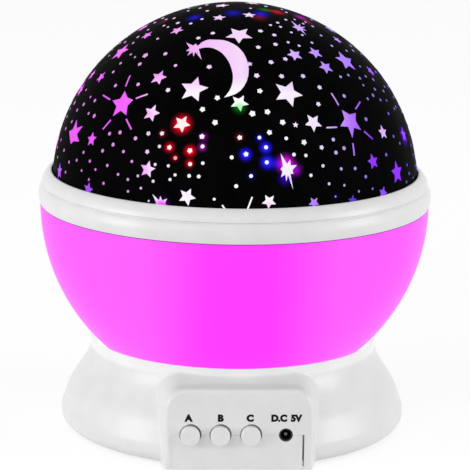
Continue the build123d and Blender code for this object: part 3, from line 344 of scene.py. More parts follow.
def onDome(longitude, latitude, lift=0.0):
    around, up = radians(longitude), radians(latitude)
    out = Vector((sin(around) * cos(up), -cos(around) * cos(up), sin(up)))
    return domeForm["centre"] + out * (domeForm["radius"] + lift)


def nearSpot(tree, place, longitude, latitude, full, reach, kind):
    away = vectorMaths(tree, "DISTANCE", place, onDome(longitude, latitude))
    return ranged(tree, away, reach * mm, full * mm, kind=kind)


def domeFilm():
    material, tree, shader, place = startMaterial(
        "blackPrintedDome", {"IOR": 1.5, "Specular IOR Level": 0.003, "Emission Strength": 1.0}
    )
    mottle(tree, shader, place, 0.006, "#040405", "#070708", rough=(0.42, 0.55), bump=0.00001)
    # Painted halos and painted reflections: soft coloured glows round given spots on the dome.
    total = (0, 0, 0)
    for *spot, colour in paintedGlows:
        soft = maths(tree, "POWER", nearSpot(tree, place, *spot, "LINEAR"), domeForm["glowPower"])
        total = vectorMaths(tree, "MULTIPLY_ADD", soft, linear(colour)[:3], total)
    tree.links.new(total, shader.inputs["Emission Color"])
    return material


windowTones = {
    # share of the dome's radius right of its middle, colour low on the dome, colour high on it
    "stops": (
        (-0.9, "#ea50fa", "#e860f0"),
        (-0.64, "#f560ff", "#f06cf4"),
        (-0.56, "#f068fa", "#ee74f4"),
        (-0.47, "#f8d8ff", "#ee84f4"),
        (-0.3, "#fcf0ff", "#f0a8f6"),
        (0.0, "#ffffff", "#f6d8fa"),
        (0.25, "#f6ecfb", "#d8b0fc"),
        (0.4, "#efe2fb", "#bc90ff"),
        (0.52, "#c088fc", "#b082ff"),
        (0.7, "#9428fa", "#9868ff"),
        (0.85, "#8c1eff", "#9060ff"),
    ),
    "high": (0.64, 0.72),  # shares of the radius above the middle between which the colours change
    "waver": 0.06,  # how far the colours' borders wander
    "waverSize": 1 / 160,  # and over what distance, in metres
    # Pinholes get dimmer to the right and left: shares of the radius, depth, colour.
    "dims": ((0.3, 1.0, 0.95, "#2c1c9c"), (-0.3, -1.0, 0.6, "#a0208c")),
    "tints": (
        # longitude, latitude, full strength within and gone beyond (mm), colour
        (-24.6, 3.6, 1.4, 4.0, "#f050f8"),
        (50.1, 5.2, 2.0, 3.4, "#8850f0"),
        (35.8, 5.0, 2.0, 3.0, "#5a2cc8"),
        (55.8, 23.3, 2.4, 3.4, "#d8b4f6"),
        (-53.3, 5.4, 2.4, 3.6, "#a448f0"),
        (-74.0, 7.2, 2.6, 3.6, "#b048f2"),
        (22.0, 5.6, 1.2, 3.0, "#b080fa"),
        (7.9, 5.4, 0.4, 2.4, "#f8d0fa"),
        (-1.1, 35.4, 0.8, 2.4, "#b4f8b8"),
        (-21.7, 19.1, 1.0, 1.6, "#ffa8a8"),
        (-21.1, 29.5, 2.4, 3.4, "#fff0f0"),
    ),
}


def windowPlastic(name, whiter):
    # Clear plastic left open in the print: the lamps show through it, magenta on the left,
    # near white in front and violet on the right, and nearer to white where a hole is small.
    material, tree, shader, place = startMaterial(
        name,
        {
            "Base Color": linear("#101010"), "Roughness": 0.35, "IOR": 1.5, "Specular IOR Level": 0.05,
            "Emission Strength": 1.0,
        },
    )
    form, radius = windowTones, domeForm["radius"]
    axes = axesOf(tree, vectorMaths(tree, "SUBTRACT", place, domeForm["centre"]))
    wander = {"Scale": 1 / form["waverSize"], "Detail": 2, "Vector": place}
    noise = addNode(tree, "ShaderNodeTexNoise", wander)
    shift = maths(tree, "MULTIPLY_ADD", noise.outputs["Fac"], form["waver"], -form["waver"] / 2)
    where = maths(tree, "ADD", ranged(tree, axes["X"], -radius, radius), shift)
    ramps = []
    for column in (1, 2):
        tones = addNode(tree, "ShaderNodeValToRGB", {"Fac": where})
        ramp = tones.color_ramp
        ramp.elements.remove(ramp.elements[1])
        for index, stop in enumerate(form["stops"]):
            position = (stop[0] + 1) / 2
            element = ramp.elements[0] if index == 0 else ramp.elements.new(position)
            element.position, element.color = position, linear(stop[column])
        ramps.append(tones.outputs["Color"])
    height = ranged(tree, axes["Z"], *(share * radius for share in form["high"]))
    colour = blended(tree, height, *ramps)
    if whiter:
        colour = blended(tree, whiter, colour, linear("#ffffff"))
        for start, end, depth, tone in form["dims"]:
            side = ranged(tree, axes["X"], start * radius, end * radius, depth)
            colour = blended(tree, side, colour, linear(tone))
    for *spot, tone in form["tints"]:
        colour = blended(tree, nearSpot(tree, place, *spot, "SMOOTHSTEP"), colour, linear(tone))
    tree.links.new(colour, shader.inputs["Emission Color"])
    return material


filmBlack = domeFilm()
windowClear = windowPlastic("clearWindowPlastic", whiter=0)
dotClear = windowPlastic("clearPinholePlastic", whiter=0.3)
print("materials made")

finishNodes = (
    (baseAbs, "base_shell bottom_plate"),
    (whiteAbs, "battery_door bowl_rim dome_ring led_pillar"),
    (bowlPink, "bowl"),
    (filmBlack, "star_dome"),
    (capAbs, "button_a button_b button_c"),
    (rubber, "rubber_feet"),
    (blackNylon, "dc_jack switch_housings plunger_a plunger_b plunger_c"),
    (pinSteel, "dc_jack_pin"),
    (solderMask, "control_board led_board"),
    (greyAbs, "gear_frame"),
    (gearNylon, "hub_gear drive_gear idler_gear"),
    (brass, "motor_pinion"),
    (motorSteel, "motor_can"),
    (axleSteel, "motor_shaft gear_axles"),
    (cellSleeve, "battery_cells"),
    (nickel, "contact_plates contact_springs"),
    (wireJacket, "lamp_wires motor_wires battery_wires"),
)
nodeFinish = {name: finish for finish, names in finishNodes for name in names.split()} | lensFinish
for nodeName, node in nodes.items():
    finish = nodeFinish.get(nodeName, screwSteel)
    if not node.material_slots:
        node.data.materials.append(finish)
    for slot in node.material_slots:
        slot.material = finish


weld = 1e-7  # corners nearer than this are one


# Every new piece: a mesh in the frame's own place, on a body, with its finish.
def addPiece(name, bm, body, finish, smoothAngle=35):
    mesh = bpy.data.meshes.new(name)
    bm.to_mesh(mesh)
    bm.free()
    mesh.polygons.foreach_set("use_smooth", [True] * len(mesh.polygons))
    mesh.set_sharp_from_angle(angle=radians(smoothAngle))
    piece = newObject(name, mesh)
    mesh.materials.append(finish)
    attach(piece, body)


# The control block grows out of the flare through a soft hollow: a long closed strip laid in the
# corner, with its two edges tangent to the block's side and to the flare.
blockBlend = {
    "halfWidth": 23.75 * mm,
    "top": 27.03 * mm,
    "foot": 0.6 * mm,
    "corner": 6.5 * mm,
    "face": 57.0 * mm,
    "draft": radians(10),
    "edgeRound": 1.4 * mm,
    "reachAbove": 0.7 * mm,  # how far the hollow runs from the corner line, over the block
    "reachBeside": 0.9 * mm,  # and beside it
    "ceiling": 31.3 * mm,
    "sink": 0.03 * mm,  # its edges lie this deep in the walls
    "hide": 0.8 * mm,  # and its back this deep
    "hideReach": 1.1,
    "search": (0.0, 30 * mm),  # depths between which the corner line is sought
    "halvings": 24,
    "lengthwise": 150,
    "across": 10,
}


def flareRadius(height):
    # Radius of the base's flare at a height, met by a ray from the right.
    hit = nodes["base_shell"].ray_cast(Vector((0.2, 0, height)), Vector((-1, 0, 0)))
    return hit[1].x if hit[0] else 0.0


def blockEdge(share):
    # Place and outward direction on the block's outline, from its left foot round to its right foot.
    form = blockBlend
    side = form["top"] - form["corner"] - form["foot"]
    arc = form["corner"] * pi / 2
    flat = 2 * (form["halfWidth"] - form["corner"])
    along = share * (2 * side + 2 * arc + flat)
    mirrored = along > side + arc + flat / 2
    if mirrored:
        along = 2 * side + 2 * arc + flat - along
    if along <= side:
        x, z, outX, outZ = -form["halfWidth"], form["foot"] + along, -1.0, 0.0
    elif along <= side + arc:
        turn = (along - side) / form["corner"]
        outX, outZ = -cos(turn), sin(turn)
        x = -form["halfWidth"] + form["corner"] * (1 + outX)
        z = form["top"] - form["corner"] * (1 - outZ)
    else:
        x = -form["halfWidth"] + form["corner"] + along - side - arc
        z, outX, outZ = form["top"], 0.0, 1.0
    return (-x, z, -outX, outZ) if mirrored else (x, z, outX, outZ)


def blendSection(share):
    # Closed section of the strip: hollow curve from block to flare, then back inside the walls.
    form = blockBlend
    x, z, outX, outZ = blockEdge(share)

    def onSide(depth, sunk=0.0):
        out = depth * sin(form["draft"]) - sunk
        return Vector((x + out * outX, depth * cos(form["draft"]) - form["face"], z + out * outZ))

    near, far = form["search"]
    for _ in range(form["halvings"]):
        middle = (near + far) / 2
        spot = onSide(middle)
        if Vector((spot.x, spot.y)).length > flareRadius(spot.z):
            near = middle
        else:
            far = middle
    corner = onSide(near)
    reach = form["reachAbove"] + (form["reachBeside"] - form["reachAbove"]) * abs(outX)
    reach = min(reach, near - form["edgeRound"])
    if outZ > 0:
        reach = min(reach, (form["ceiling"] - corner.z) / outZ)

    def onFlare(spread, sunk):
        px, pz = corner.x + spread * outX, corner.z + spread * outZ
        radius = flareRadius(pz) - sunk
        return Vector((px, -sqrt(max(radius * radius - px * px, 0)), pz))

    first, last = onSide(near - reach, form["sink"]), onFlare(reach, form["sink"])
    curve = []
    for step in range(form["across"] + 1):
        t = step / form["across"]
        curve.append(first * (1 - t) ** 2 + corner * 2 * t * (1 - t) + last * t * t)
    return curve + [
        onFlare(reach * form["hideReach"], form["hide"]),
        onSide(near + form["hide"], form["hide"]),
        onSide(near - reach * form["hideReach"], form["hide"]),
    ]


def makeBlockBlend():
    form = blockBlend
    sections = [blendSection(index / form["lengthwise"]) for index in range(form["lengthwise"] + 1)]
    count = len(sections[0])
    bm = bmesh.new()
    bmesh.ops.create_grid(bm, x_segments=form["lengthwise"], y_segments=count, size=1)
    for vert in bm.verts:
        column = round((vert.co.x + 1) / 2 * form["lengthwise"])
        row = round((vert.co.y + 1) / 2 * count) % count
        vert.co = sections[column][row]
    bmesh.ops.remove_doubles(bm, verts=bm.verts, dist=weld)
    bmesh.ops.holes_fill(bm, edges=bm.edges)
    bmesh.ops.recalc_face_normals(bm, faces=bm.faces)
    addPiece("block_blend", bm, "base", whiteAbs, smoothAngle=60)


makeBlockBlend()
print("block blend made")

# Lips moulded behind the shells' seams, so that a seam reads as a shallow line.
seamLips = {
    "ringProfile": ((63.3, 83.1), (64.22, 83.1), (64.27, 83.2), (64.2, 83.45), (63.3, 83.3)),
    "ringSteps": 180,
    "front": -56.88,
    "back": -56.2,
    "strips": (
        # low and high x, low and high z, in millimetres
        (-21.76, -21.64, 0.8, 12.2),
        (-21.76, -19.2, 12.07, 12.21),
        (-12.3, -9.5, 12.07, 12.21),
        (-2.6, 0.35, 12.07, 12.21),
        (7.25, 12.8, 12.07, 12.21),
        (17.4, 20.5, 12.07, 12.21),
        (20.54, 20.91, 0.8, 1.9),
    ),
    "round": 0.02,
}


def makeSeamLips():
    form = seamLips
    bm = bmesh.new()
    corners = [bm.verts.new((radius * mm, 0, height * mm)) for radius, height in form["ringProfile"]]
    face = bm.faces.new(corners)
    geometry = [face] + list(face.edges) + list(face.verts)
    bmesh.ops.spin(
        bm, geom=geometry, cent=(0, 0, 0), axis=(0, 0, 1), angle=2 * pi,
        steps=form["ringSteps"], use_merge=True, use_duplicate=False,
    )
    bmesh.ops.delete(bm, geom=[f for f in bm.faces if len(f.verts) == len(corners)], context="FACES_ONLY")
    bmesh.ops.remove_doubles(bm, verts=bm.verts, dist=weld)
    bmesh.ops.recalc_face_normals(bm, faces=bm.faces)
    addPiece("ring_lip", bm, "dome_ring", whiteAbs)

    bm = bmesh.new()
    for lowX, highX, lowZ, highZ in form["strips"]:
        low, high = Vector((lowX, form["front"], lowZ)) * mm, Vector((highX, form["back"], highZ)) * mm
        made = bmesh.ops.create_cube(bm, size=1)["verts"]
        for vert in made:
            vert.co = low + (high - low) * (vert.co + Vector((0.5, 0.5, 0.5)))
        edges = list({edge for vert in made for edge in vert.link_edges})
        bmesh.ops.bevel(
            bm, geom=edges, offset=form["round"] * mm, offset_type="OFFSET", segments=1,
            profile=0.5, affect="EDGES", material=-1,
        )
    bmesh.ops.recalc_face_normals(bm, faces=bm.faces)
    addPiece("panel_seam_lips", bm, "base", whiteAbs)


makeSeamLips()
print("seam lips made")

# Windows in the dome's print: stars, stars with rays, bursts, a crescent and a field of dots.
# Places are longitude right of the front and latitude; sizes in millimetres; angles clockwise.
windows = {
    "proud": 0.06 * mm,
    "sunk": 0.4 * mm,
    "points": 5,  # of an even star
    "waist": 0.48,  # notches as a share of the points' reach
    "stars": (
        # longitude, latitude, reach, angle
        (-19.4, 41.0, 4.8, 5), (18.3, 39.9, 4.9, 30), (-0.8, 64.1, 4.5, 38), (-36.7, 43.9, 2.9, 5),
        (-33.5, 31.9, 3.0, 10), (-21.1, 29.5, 2.9, 23), (-30.4, 14.8, 2.8, 6), (-1.1, 37.0, 3.0, 28),
        (28.9, 53.9, 2.7, -9), (42.3, 53.7, 2.6, -4), (42.1, 47.7, 2.7, -8), (58.6, 48.4, 4.3, 16),
        (25.3, 29.8, 3.1, 45), (55.8, 23.3, 2.4, 7), (46.4, 15.5, 2.6, -5), (58.7, 10.2, 3.8, 1),
        (-16.8, 7.8, 2.9, 24), (7.9, 6.9, 2.4, 41), (-56.5, 20.5, 2.4, -10), (-75.1, 49.4, 3.8, -17),
        (-71.8, 39.4, 2.2, 8), (-69.5, 58.5, 2.1, -3), (-48.5, 63.8, 2.3, -3), (-22.9, 74.1, 2.2, -9),
        (74.1, 42.0, 2.1, -6), (73.8, 56.1, 1.9, 6), (-53.3, 5.5, 2.4, 7), (-74.3, 7.2, 2.6, -12),
        (49.4, 5.4, 2.2, 21), (71.5, 19.9, 2.6, 14), (-85.3, 32.2, 2.4, 3), (90.0, 59.5, 2.3, 41),
        (-84.5, 38.2, 2.0, -20), (91.2, 32.8, 2.8, 12), (85.5, 7.3, 2.0, 12), (-88.5, 14.5, 2.6, 0),
        (22.0, 5.8, 1.9, -32), (18.5, 29.5, 1.0, 10), (14.0, 76.6, 2.2, 15),
        (35.8, 5.0, 1.9, 8), (3.9, 51.0, 1.0, 60), (120.0, 84.5, 2.4, 20),
    ),
    "uneven": (
        # longitude, latitude, radius of the notches, then each point's angle and length
        (-47.8, 33.4, 2.5, ((-158, 5.1), (-86, 5.2), (-22, 4.7), (61, 4.1), (134, 5.0))),
        (40.9, 28.8, 2.35, ((-166, 5.6), (-102, 4.9), (-23, 4.5), (56, 4.4), (134, 4.8))),
        (-69.1, 19.8, 2.5, ((-86, 4.7), (-21, 5.2), (48, 5.8), (102, 5.7), (177, 3.1))),
        (13.9, 16.2, 1.7, (
            (-172, 3.8), (-137, 3.2), (-83, 2.2), (-19, 5.4), (21, 3.3), (69, 3.5), (129, 2.4), (166, 6.6)
        )),
        (-26.2, 56.5, 1.6, (
            (-162, 3.5), (-119, 2.7), (-56, 4.7), (-9, 2.5), (45, 2.2), (136, 6.1), (162, 3.8)
        )),
        (-25.0, 4.7, 1.6, ((-100, 2.6), (-44, 4.4), (-5, 2.8), (43, 3.0), (95, 2.5), (178, 2.8))),
        (50.8, 65.6, 1.3, (
            (-165, 4.2), (-125, 2.6), (-60, 2.4), (18, 4.7), (58, 3.9), (91, 3.5), (140, 2.6)
        )),
    ),
    "rayWidth": 0.5,
    "rays": (
        # longitude, latitude, then each ray's two ends as angle and distance
        (-47.8, 33.4, (
            (-160, 6.5, -155, 10.7), (-85, 6.8, -81, 11.9), (-23, 6.6, -19, 10.9), (59, 5.2, 58, 9.6),
            (138, 6.4, 134, 11.0),
        )),
        (40.9, 28.8, (
            (-166, 7.4, -168, 11.5), (-100, 6.4, -93, 10.4), (-21, 6.4, -16, 11.0), (49, 5.8, 53, 10.1),
            (130, 6.2, 131, 10.6),
        )),
        (-5.5, 5.0, ((-36, 1.1, 144, 1.1),)),
        (2.1, 6.4, ((21, 2.2, -159, 2.2),)),
    ),
    "crescentOuter": (
        (-25.9, 55.8), (-23.2, 59.9), (-15.3, 61.2), (-6.7, 60.3), (-0.1, 56.9), (2.8, 52.3),
        (3.1, 47.9), (1.3, 43.4), (-1.8, 40.4), (-6.9, 38.7),
    ),
    "crescentInner": (
        (-25.9, 55.8), (-20.3, 57.4), (-13.6, 56.8), (-7.9, 53.7), (-4.6, 49.1), (-3.8, 45.0),
        (-4.8, 41.4), (-6.9, 38.7),
    ),
    "crescentSteps": (24, 4),  # along and across
    "crescentWeld": 1e-6,
    "splineSteps": 12,
    # Dots: longitude, latitude, radius; from stubby up they are small blunt stars.
    "stubby": 0.78,
    "stubbyReach": (1.16, 0.84),  # tips and notches as shares of a dot's radius
    "dotSize": 0.88,  # the share of a dot's radius that stays open
    "dotSides": 8,
    "dots": (
        (31.5, 82.5, 0.5), (-52.5, 78, 0.65), (-39.5, 72, 0.6), (51, 71, 0.6), (37, 70, 0.65),
        (62.5, 70, 0.5), (-73, 69, 0.65), (27.5, 69, 0.6), (-44.5, 68.5, 0.65), (-58, 67.5, 0.8),
        (35, 67.5, 0.6), (63, 67, 0.55), (15.5, 66, 0.9), (-67.5, 64.5, 0.6), (-61, 64.5, 0.5),
        (-19.5, 64.5, 0.8), (39, 64, 0.55), (24, 63.5, 0.8), (45.5, 62, 0.55), (-27.5, 61.5, 0.8),
        (-78, 60.5, 0.55), (62, 60, 0.55), (30, 59.5, 0.6), (21, 59, 0.85), (-56, 58.5, 0.6),
        (10, 58, 0.85), (46.5, 58, 0.6), (35.5, 57.5, 0.6), (60, 55, 0.6), (-73, 54, 0.55),
        (-41, 53, 0.8), (22.5, 52.5, 0.85), (14.5, 51.5, 0.9), (69, 51.5, 0.55), (-52.5, 51, 1.1),
        (-63.5, 50, 0.5), (-58.5, 49.5, 0.45), (-15, 49.5, 0.9), (-31.5, 49, 0.65), (-51.5, 47.5, 0.8),
        (6.5, 46.5, 0.95), (-65, 46, 0.6), (17.5, 46, 0.9), (27.5, 45.5, 0.85), (67, 45, 0.45),
        (47, 43.5, 0.6), (52.5, 43.5, 0.55), (-65, 42.5, 0.65), (59, 41.5, 0.6), (7, 41, 0.95),
        (33, 41, 0.85), (-45, 40.5, 0.75), (-30, 40, 0.85), (58, 39, 0.5), (-57, 38.5, 0.75),
        (-9.5, 38.5, 0.95), (43, 37, 0.75), (29.5, 35.5, 0.85), (60.5, 35, 0.75), (-14.5, 34.5, 0.95),
        (55.5, 34.5, 0.6), (9, 34, 1.0), (3.5, 33.5, 1.1), (-64.5, 32, 0.7), (-9.5, 30.5, 1.0),
        (14, 30.5, 1.0), (-71.5, 29.5, 0.75), (49, 28.5, 0.75), (-83, 28, 0.8), (65, 28, 0.6),
        (-60, 27.5, 0.8), (9, 27.5, 0.9), (-27.5, 26, 0.8), (-13.5, 26, 0.9), (-1, 26, 0.85),
        (5.5, 26, 0.7), (-32.5, 25.5, 0.8), (14.5, 25.5, 0.7), (-44, 24.5, 0.75), (20.5, 24, 0.95),
        (31.5, 24, 0.7), (-48.5, 23.5, 0.7), (-37, 23.5, 0.75), (-84.5, 23, 0.6), (-75, 23, 0.65),
        (-13, 23, 0.75), (7.5, 23, 0.75), (-27.5, 22, 0.65), (-24, 22, 0.85), (26.5, 22, 0.8),
        (-17, 21.5, 0.9), (1, 21, 0.85), (35, 21, 0.75), (62, 21, 0.6), (-45.5, 20.5, 0.75),
        (16.5, 20.5, 0.7), (-31.5, 20, 0.8), (-3.5, 20, 0.75), (20.5, 20, 0.65), (31.5, 20, 0.75),
        (-40.5, 19, 0.6), (-21.5, 19, 0.7), (7.5, 18.5, 0.75), (-49.5, 18, 0.7), (-12.5, 18, 0.65),
        (-16.5, 17.5, 0.75), (-36.5, 16.5, 0.55), (-28, 16.5, 0.6), (-23.5, 16.5, 0.6), (26, 16.5, 0.65),
        (54, 16.5, 0.65), (-80.5, 16, 0.55), (-59, 16, 0.6), (32.5, 15, 0.6), (2.5, 14.5, 0.7),
        (38, 14.5, 0.65), (-73.5, 14, 0.65), (-54.5, 14, 0.6), (-46, 14, 0.6), (-21, 14, 0.6),
        (-16.5, 14, 0.7), (-13.5, 14, 0.7), (21.5, 14, 0.65), (-62, 13, 0.6), (-33.5, 12.5, 0.55),
        (-22.5, 12.5, 0.6), (-51, 12, 0.5), (-41, 12, 0.55), (-67, 11.5, 0.6), (-28, 11.5, 0.6),
        (-2, 11.5, 0.75), (42, 11.5, 0.65), (-37, 11, 0.55), (27.5, 11, 0.55), (67.5, 11, 0.5),
        (-58, 10.5, 0.5), (33, 10, 0.5), (-32, 9, 0.5), (-53.5, 8.5, 0.5), (-46.5, 8.5, 0.55),
        (-36.5, 7.5, 0.5), (-8.5, 7.5, 0.55), (38.5, 7.5, 0.45), (44.5, 7.5, 0.45), (29.5, 7, 0.3),
        (-29, 5.5, 0.4),
    ),
    # The print repeats on the dome's back; the gaps at the sides are filled by chance.
    "backTurn": 178,
    "backSlant": 9,
    "fillers": 90,
    "fillerTries": 20000,
    "fillerFrom": 64,
    "fillerLatitudes": (6, 84),
    "fillerRadii": (0.5, 0.58, 0.66),
    "fillerRoom": 1.8,
    "crescentRoom": 2.0,
    "seed": 7,
}


def onPrint(x, y, longitude, latitude, tilt, lift):
    # A point x right and y up of a motif's middle, in millimetres, laid on the dome.
    around, up, turn = radians(longitude), radians(latitude), radians(tilt)
    right, rise = x * cos(turn) + y * sin(turn), y * cos(turn) - x * sin(turn)
    east = Vector((cos(around), sin(around), 0))
    out = Vector((sin(around) * cos(up), -cos(around) * cos(up), sin(up)))
    ray = (out * domeForm["radius"] + (east * right + out.cross(east) * rise) * mm).normalized()
    return domeForm["centre"] + ray * (domeForm["radius"] + lift)


def layMotif(bm, faces, longitude, latitude, tilt):
    # Flat faces drawn in millimetres become a thin closed inlay in the dome's wall.
    raised = bmesh.ops.extrude_face_region(bm, geom=faces, use_keep_orig=True)["geom"]
    top = {vert for vert in raised if isinstance(vert, bmesh.types.BMVert)}
    low = {vert for face in faces for vert in face.verts}
    for vert in top:
        vert.co = onPrint(vert.co.x, vert.co.y, longitude, latitude, tilt, windows["proud"])
    for vert in low:
        vert.co = onPrint(vert.co.x, vert.co.y, longitude, latitude, tilt, -windows["sunk"])


def drawPoints(bm, tips, notch, longitude, latitude, tilt=0):
    # A flat star with a point at each angle and length, and a notch between neighbours.
    made = bmesh.ops.create_circle(bm, cap_ends=True, segments=2 * len(tips), radius=1)["verts"]
    for index, vert in enumerate(made):
        before, after = tips[index // 2], tips[(index + 1) // 2 % len(tips)]
        angle = before[0]
        if index % 2:
            angle += ((after[0] - before[0]) % 360) / 2
        length = notch if index % 2 else before[1]
        vert.co = (length * sin(radians(angle)), length * cos(radians(angle)), 0)
    poked = bmesh.ops.poke(bm, faces=[made[0].link_faces[0]])
    poked["verts"][0].co = (0, 0, 0)
    layMotif(bm, poked["faces"], longitude, latitude, tilt)


def evenTips(reach):
    return [(360 / windows["points"] * tip, reach) for tip in range(windows["points"])]


def drawRay(bm, ends, longitude, latitude):
    # A thin bar between two places given as angle and distance from a middle.
    start, end = (
        Vector((distance * sin(radians(angle)), distance * cos(radians(angle)), 0))
        for angle, distance in (ends[:2], ends[2:])
    )
    side = (end - start).normalized().cross(Vector((0, 0, 1))) * windows["rayWidth"]
    made = bmesh.ops.create_grid(bm, x_segments=1, y_segments=3, size=0.5)["verts"]
    for vert in made:
        vert.co = start.lerp(end, vert.co.y + 0.5) + side * vert.co.x
    layMotif(bm, list({face for vert in made for face in vert.link_faces}), longitude, latitude, 0)


def drawDot(bm, radius, longitude, latitude, tilt=0):
    stubby = radius >= windows["stubby"]
    radius *= windows["dotSize"]
    if stubby:
        tips, notch = (radius * share for share in windows["stubbyReach"])
        drawPoints(bm, evenTips(tips), notch, longitude, latitude, tilt)
        return
    sides = windows["dotSides"]
    made = bmesh.ops.create_circle(bm, cap_ends=True, segments=sides, radius=radius)["verts"]
    layMotif(bm, [made[0].link_faces[0]], longitude, latitude, 0)


def meshOf(curve):
    # The mesh that a curve or a text makes; the curve itself goes.
    holder = newObject("holder", curve)
    bpy.context.view_layer.update()
    mesh = bpy.data.meshes.new_from_object(holder)
    bpy.data.objects.remove(holder)
    bpy.data.curves.remove(curve)
    return mesh


def smoothRun(places, count):
    # A smooth line through places, as longitudes and latitudes, from a spline of its own.
    curve = bpy.data.curves.new("run", "CURVE")
    spline = curve.splines.new("BEZIER")
    spline.bezier_points.add(len(places) - 1)
    for point, place in zip(spline.bezier_points, places):
        point.co = (*place, 0)
        point.handle_left_type = point.handle_right_type = "AUTO"
    curve.resolution_u = windows["splineSteps"]
    mesh = meshOf(curve)
    line = [vert.co.copy() for vert in mesh.vertices]
    bpy.data.meshes.remove(mesh)
    lengths = [0.0]
    for one, two in zip(line, line[1:]):
        lengths.append(lengths[-1] + (two - one).length)
    run = []
    for index in range(count + 1):
        want = lengths[-1] * index / count
        at = max(i for i, length in enumerate(lengths) if length <= want + 1e-9)
        after = min(at + 1, len(line) - 1)
        gap = lengths[after] - lengths[at]
        run.append(line[at].lerp(line[after], (want - lengths[at]) / gap if gap else 0))
    return run


def drawCrescent(bm, turn):
    count, rows = windows["crescentSteps"]
    outer, inner = smoothRun(windows["crescentOuter"], count), smoothRun(windows["crescentInner"], count)
    made = bmesh.ops.create_grid(bm, x_segments=count, y_segments=rows, size=1)["verts"]
    faces = list({face for vert in made for face in vert.link_faces})
    raised = bmesh.ops.extrude_face_region(bm, geom=faces, use_keep_orig=True)["geom"]
    for lift, group in (
        (-windows["sunk"], made),
        (windows["proud"], [vert for vert in raised if isinstance(vert, bmesh.types.BMVert)]),
    ):
        for vert in group:
            column = round((vert.co.x + 1) / 2 * count)
            place = inner[column].lerp(outer[column], (vert.co.y + 1) / 2)
            vert.co = onDome(place.x + turn, place.y, lift)
    bmesh.ops.remove_doubles(bm, verts=made, dist=windows["crescentWeld"])


def degreesUp(height):
    # Latitude whose sine is height, by the angle between two vectors.
    return Vector((sqrt(1 - height * height), height)).angle(Vector((1, 0))) * 180 / pi


def apart(place, other):
    return (onDome(*place) - onDome(*other)).length / mm


def makeWindows():
    form = windows
    dice = random.Random(form["seed"])
    bm, pinholes = bmesh.new(), bmesh.new()
    taken = []
    for turn in (0, form["backTurn"]):
        slant = form["backSlant"] if turn else 0
        for longitude, latitude, reach, tilt in form["stars"]:
            notch = reach * form["waist"]
            drawPoints(bm, evenTips(reach), notch, longitude + turn, latitude, tilt + slant)
            taken.append((longitude + turn, latitude, reach))
        for longitude, latitude, notch, tips in form["uneven"]:
            drawPoints(bm, tips, notch, longitude + turn, latitude)
            taken.append((longitude + turn, latitude, max(length for angle, length in tips)))
        for longitude, latitude, rays in form["rays"]:
            for ends in rays:
                drawRay(bm, ends, longitude + turn, latitude)
            taken.append((longitude + turn, latitude, max(ends[3] for ends in rays)))
        drawCrescent(bm, turn)
        for longitude, latitude in form["crescentOuter"] + form["crescentInner"]:
            taken.append((longitude + turn, latitude, form["crescentRoom"]))
        for longitude, latitude, radius in form["dots"]:
            tilt = dice.uniform(0, 360 / form["points"])
            drawDot(pinholes, radius, longitude + turn, latitude, tilt)
            taken.append((longitude + turn, latitude, radius))
    fillers = 0
    heights = [sin(radians(latitude)) for latitude in form["fillerLatitudes"]]
    for _ in range(form["fillerTries"]):
        if fillers == form["fillers"]:
            break
        side = dice.choice((90, -90)) + dice.uniform(form["fillerFrom"] - 90, 90 - form["fillerFrom"])
        place = (side, degreesUp(dice.uniform(*heights)))
        radius = dice.choice(form["fillerRadii"])
        if all(apart(place, spot[:2]) > spot[2] + radius + form["fillerRoom"] for spot in taken):
            drawDot(pinholes, radius, *place)
            taken.append((*place, radius))
            fillers += 1
    for name, drawn, finish in (("star_windows", bm, windowClear), ("dot_windows", pinholes, dotClear)):
        bmesh.ops.recalc_face_normals(drawn, faces=drawn.faces)
        addPiece(name, drawn, "dome", finish)
    print("windows cut:", 2 * len(form["dots"]) + fillers, "dots")


makeWindows()

# Letters over the controls, pad printed in black, bold and upright.
lettering = {
    "capHeight": 2.25 * mm,
    "baseline": 16.85 * mm,
    "face": -57.0 * mm,
    "proud": 0.04 * mm,
    "sunk": 0.2 * mm,
    "words": (("A", -16.25), ("B", -5.9), ("C", 3.5), ("D.C 5V", 15.3)),  # with their middles' x
    "longWidth": 10.0 * mm,
    "stretch": 1.05,  # of a single letter's width
    "weight": 0.071,
    "wordGap": 1.6,
    # of the flat letters, before they are laid on the face
    "depth": 0.02,
    "curveSteps": 4,
    "weld": 1e-5,
}


def makeLettering():
    form = lettering
    for word, middle in form["words"]:
        text = bpy.data.curves.new("letters", "FONT")
        text.body = word
        text.align_x = "CENTER"
        text.offset = form["weight"]
        text.space_word = form["wordGap"]
        text.extrude = form["depth"]
        text.resolution_u = form["curveSteps"]
        mesh = meshOf(text)
        bm = bmesh.new()
        bm.from_mesh(mesh)
        bpy.data.meshes.remove(mesh)
        bmesh.ops.remove_doubles(bm, verts=bm.verts, dist=form["weld"])
        low, high = min(v.co.x for v in bm.verts), max(v.co.x for v in bm.verts)
        tall = max(v.co.y for v in bm.verts)
        rise = form["capHeight"] / tall
        wide = form["longWidth"] / (high - low) if len(word) > 1 else rise * form["stretch"]
        for vert in bm.verts:
            x, y, z = vert.co
            vert.co = (
                (x - (low + high) / 2) * wide + middle * mm,
                form["face"] + (-form["proud"] if z > 0 else form["sunk"]),
                y * rise + form["baseline"],
            )
        bmesh.ops.recalc_face_normals(bm, faces=bm.faces)
        name = "letters_dc" if len(word) > 1 else "letter_" + word.lower()
        addPiece(name, bm, "base", lampInk)


makeLettering()
print("lettering printed")

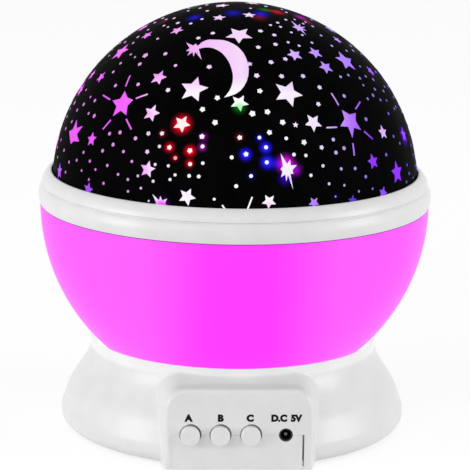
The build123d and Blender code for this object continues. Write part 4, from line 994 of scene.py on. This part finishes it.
# Soft studio: a pale floor, a white backdrop for the camera, even light with a broad key.
studio = {
    "ambient": 0.54,
    "floorSize": 3.0,
    "floorLit": "#f4f4f4",  # the floor as it lights the lamp
    "floorSeen": "#a8a8a8",  # and as it is seen, where its own glow makes up the rest
    "floorGlow": 0.72,
    "lamps": {
        # place, width and power of each soft box
        "left": ((-1.6, -0.6, 0.45), 0.8, 9.5),
        "right": ((1.6, -0.5, 0.45), 0.8, 9.0),
        "front": ((-0.9, -1.4, 0.9), 0.5, 2.6),
    },
}


def seenWhite(tree):
    # 1 where the camera, a reflection or a refraction looks, else 0.
    path = addNode(tree, "ShaderNodeLightPath").outputs
    first = maths(tree, "MAXIMUM", path["Is Camera Ray"], path["Is Glossy Ray"])
    return maths(tree, "MAXIMUM", first, path["Is Transmission Ray"])


def makeStudio():
    world = bpy.data.worlds.new("softStudio")
    bpy.context.scene.world = world
    world.use_nodes = True
    tree = world.node_tree
    tree.nodes.clear()
    strength = ranged(tree, seenWhite(tree), 0.0, 1.0, low=studio["ambient"])
    sky = addNode(tree, "ShaderNodeBackground", {"Color": (1, 1, 1, 1), "Strength": strength})
    addNode(tree, "ShaderNodeOutputWorld", {"Surface": sky.outputs["Background"]})

    bm = bmesh.new()
    bmesh.ops.create_grid(bm, x_segments=1, y_segments=1, size=studio["floorSize"])
    floor = newObject("floor", bpy.data.meshes.new("floor"))
    bm.to_mesh(floor.data)
    bm.free()
    material = bpy.data.materials.new("paleFloor")
    material.use_nodes = True
    tree = material.node_tree
    tree.nodes.clear()
    seen = seenWhite(tree)
    tone = blended(tree, seen, linear(studio["floorLit"]), linear(studio["floorSeen"]))
    matt = addNode(tree, "ShaderNodeBsdfDiffuse", {"Color": tone})
    glow = maths(tree, "MULTIPLY", seen, studio["floorGlow"])
    shine = addNode(tree, "ShaderNodeEmission", {"Strength": glow})
    both = addNode(tree, "ShaderNodeAddShader", {0: matt.outputs["BSDF"], 1: shine.outputs["Emission"]})
    addNode(tree, "ShaderNodeOutputMaterial", {"Surface": both.outputs["Shader"]})
    floor.data.materials.append(material)

    for name, (where, width, power) in studio["lamps"].items():
        data = bpy.data.lights.new(name + "Lamp", "AREA")
        data.size, data.energy = width, power
        light = newObject(name + "Lamp", data)
        light.location = where
        light.rotation_mode = "QUATERNION"
        light.rotation_quaternion = (Vector(viewpoint["aim"]) - light.location).to_track_quat("-Z", "Y")
    bpy.context.scene.view_settings.view_transform = "Standard"


makeStudio()
print("studio made")
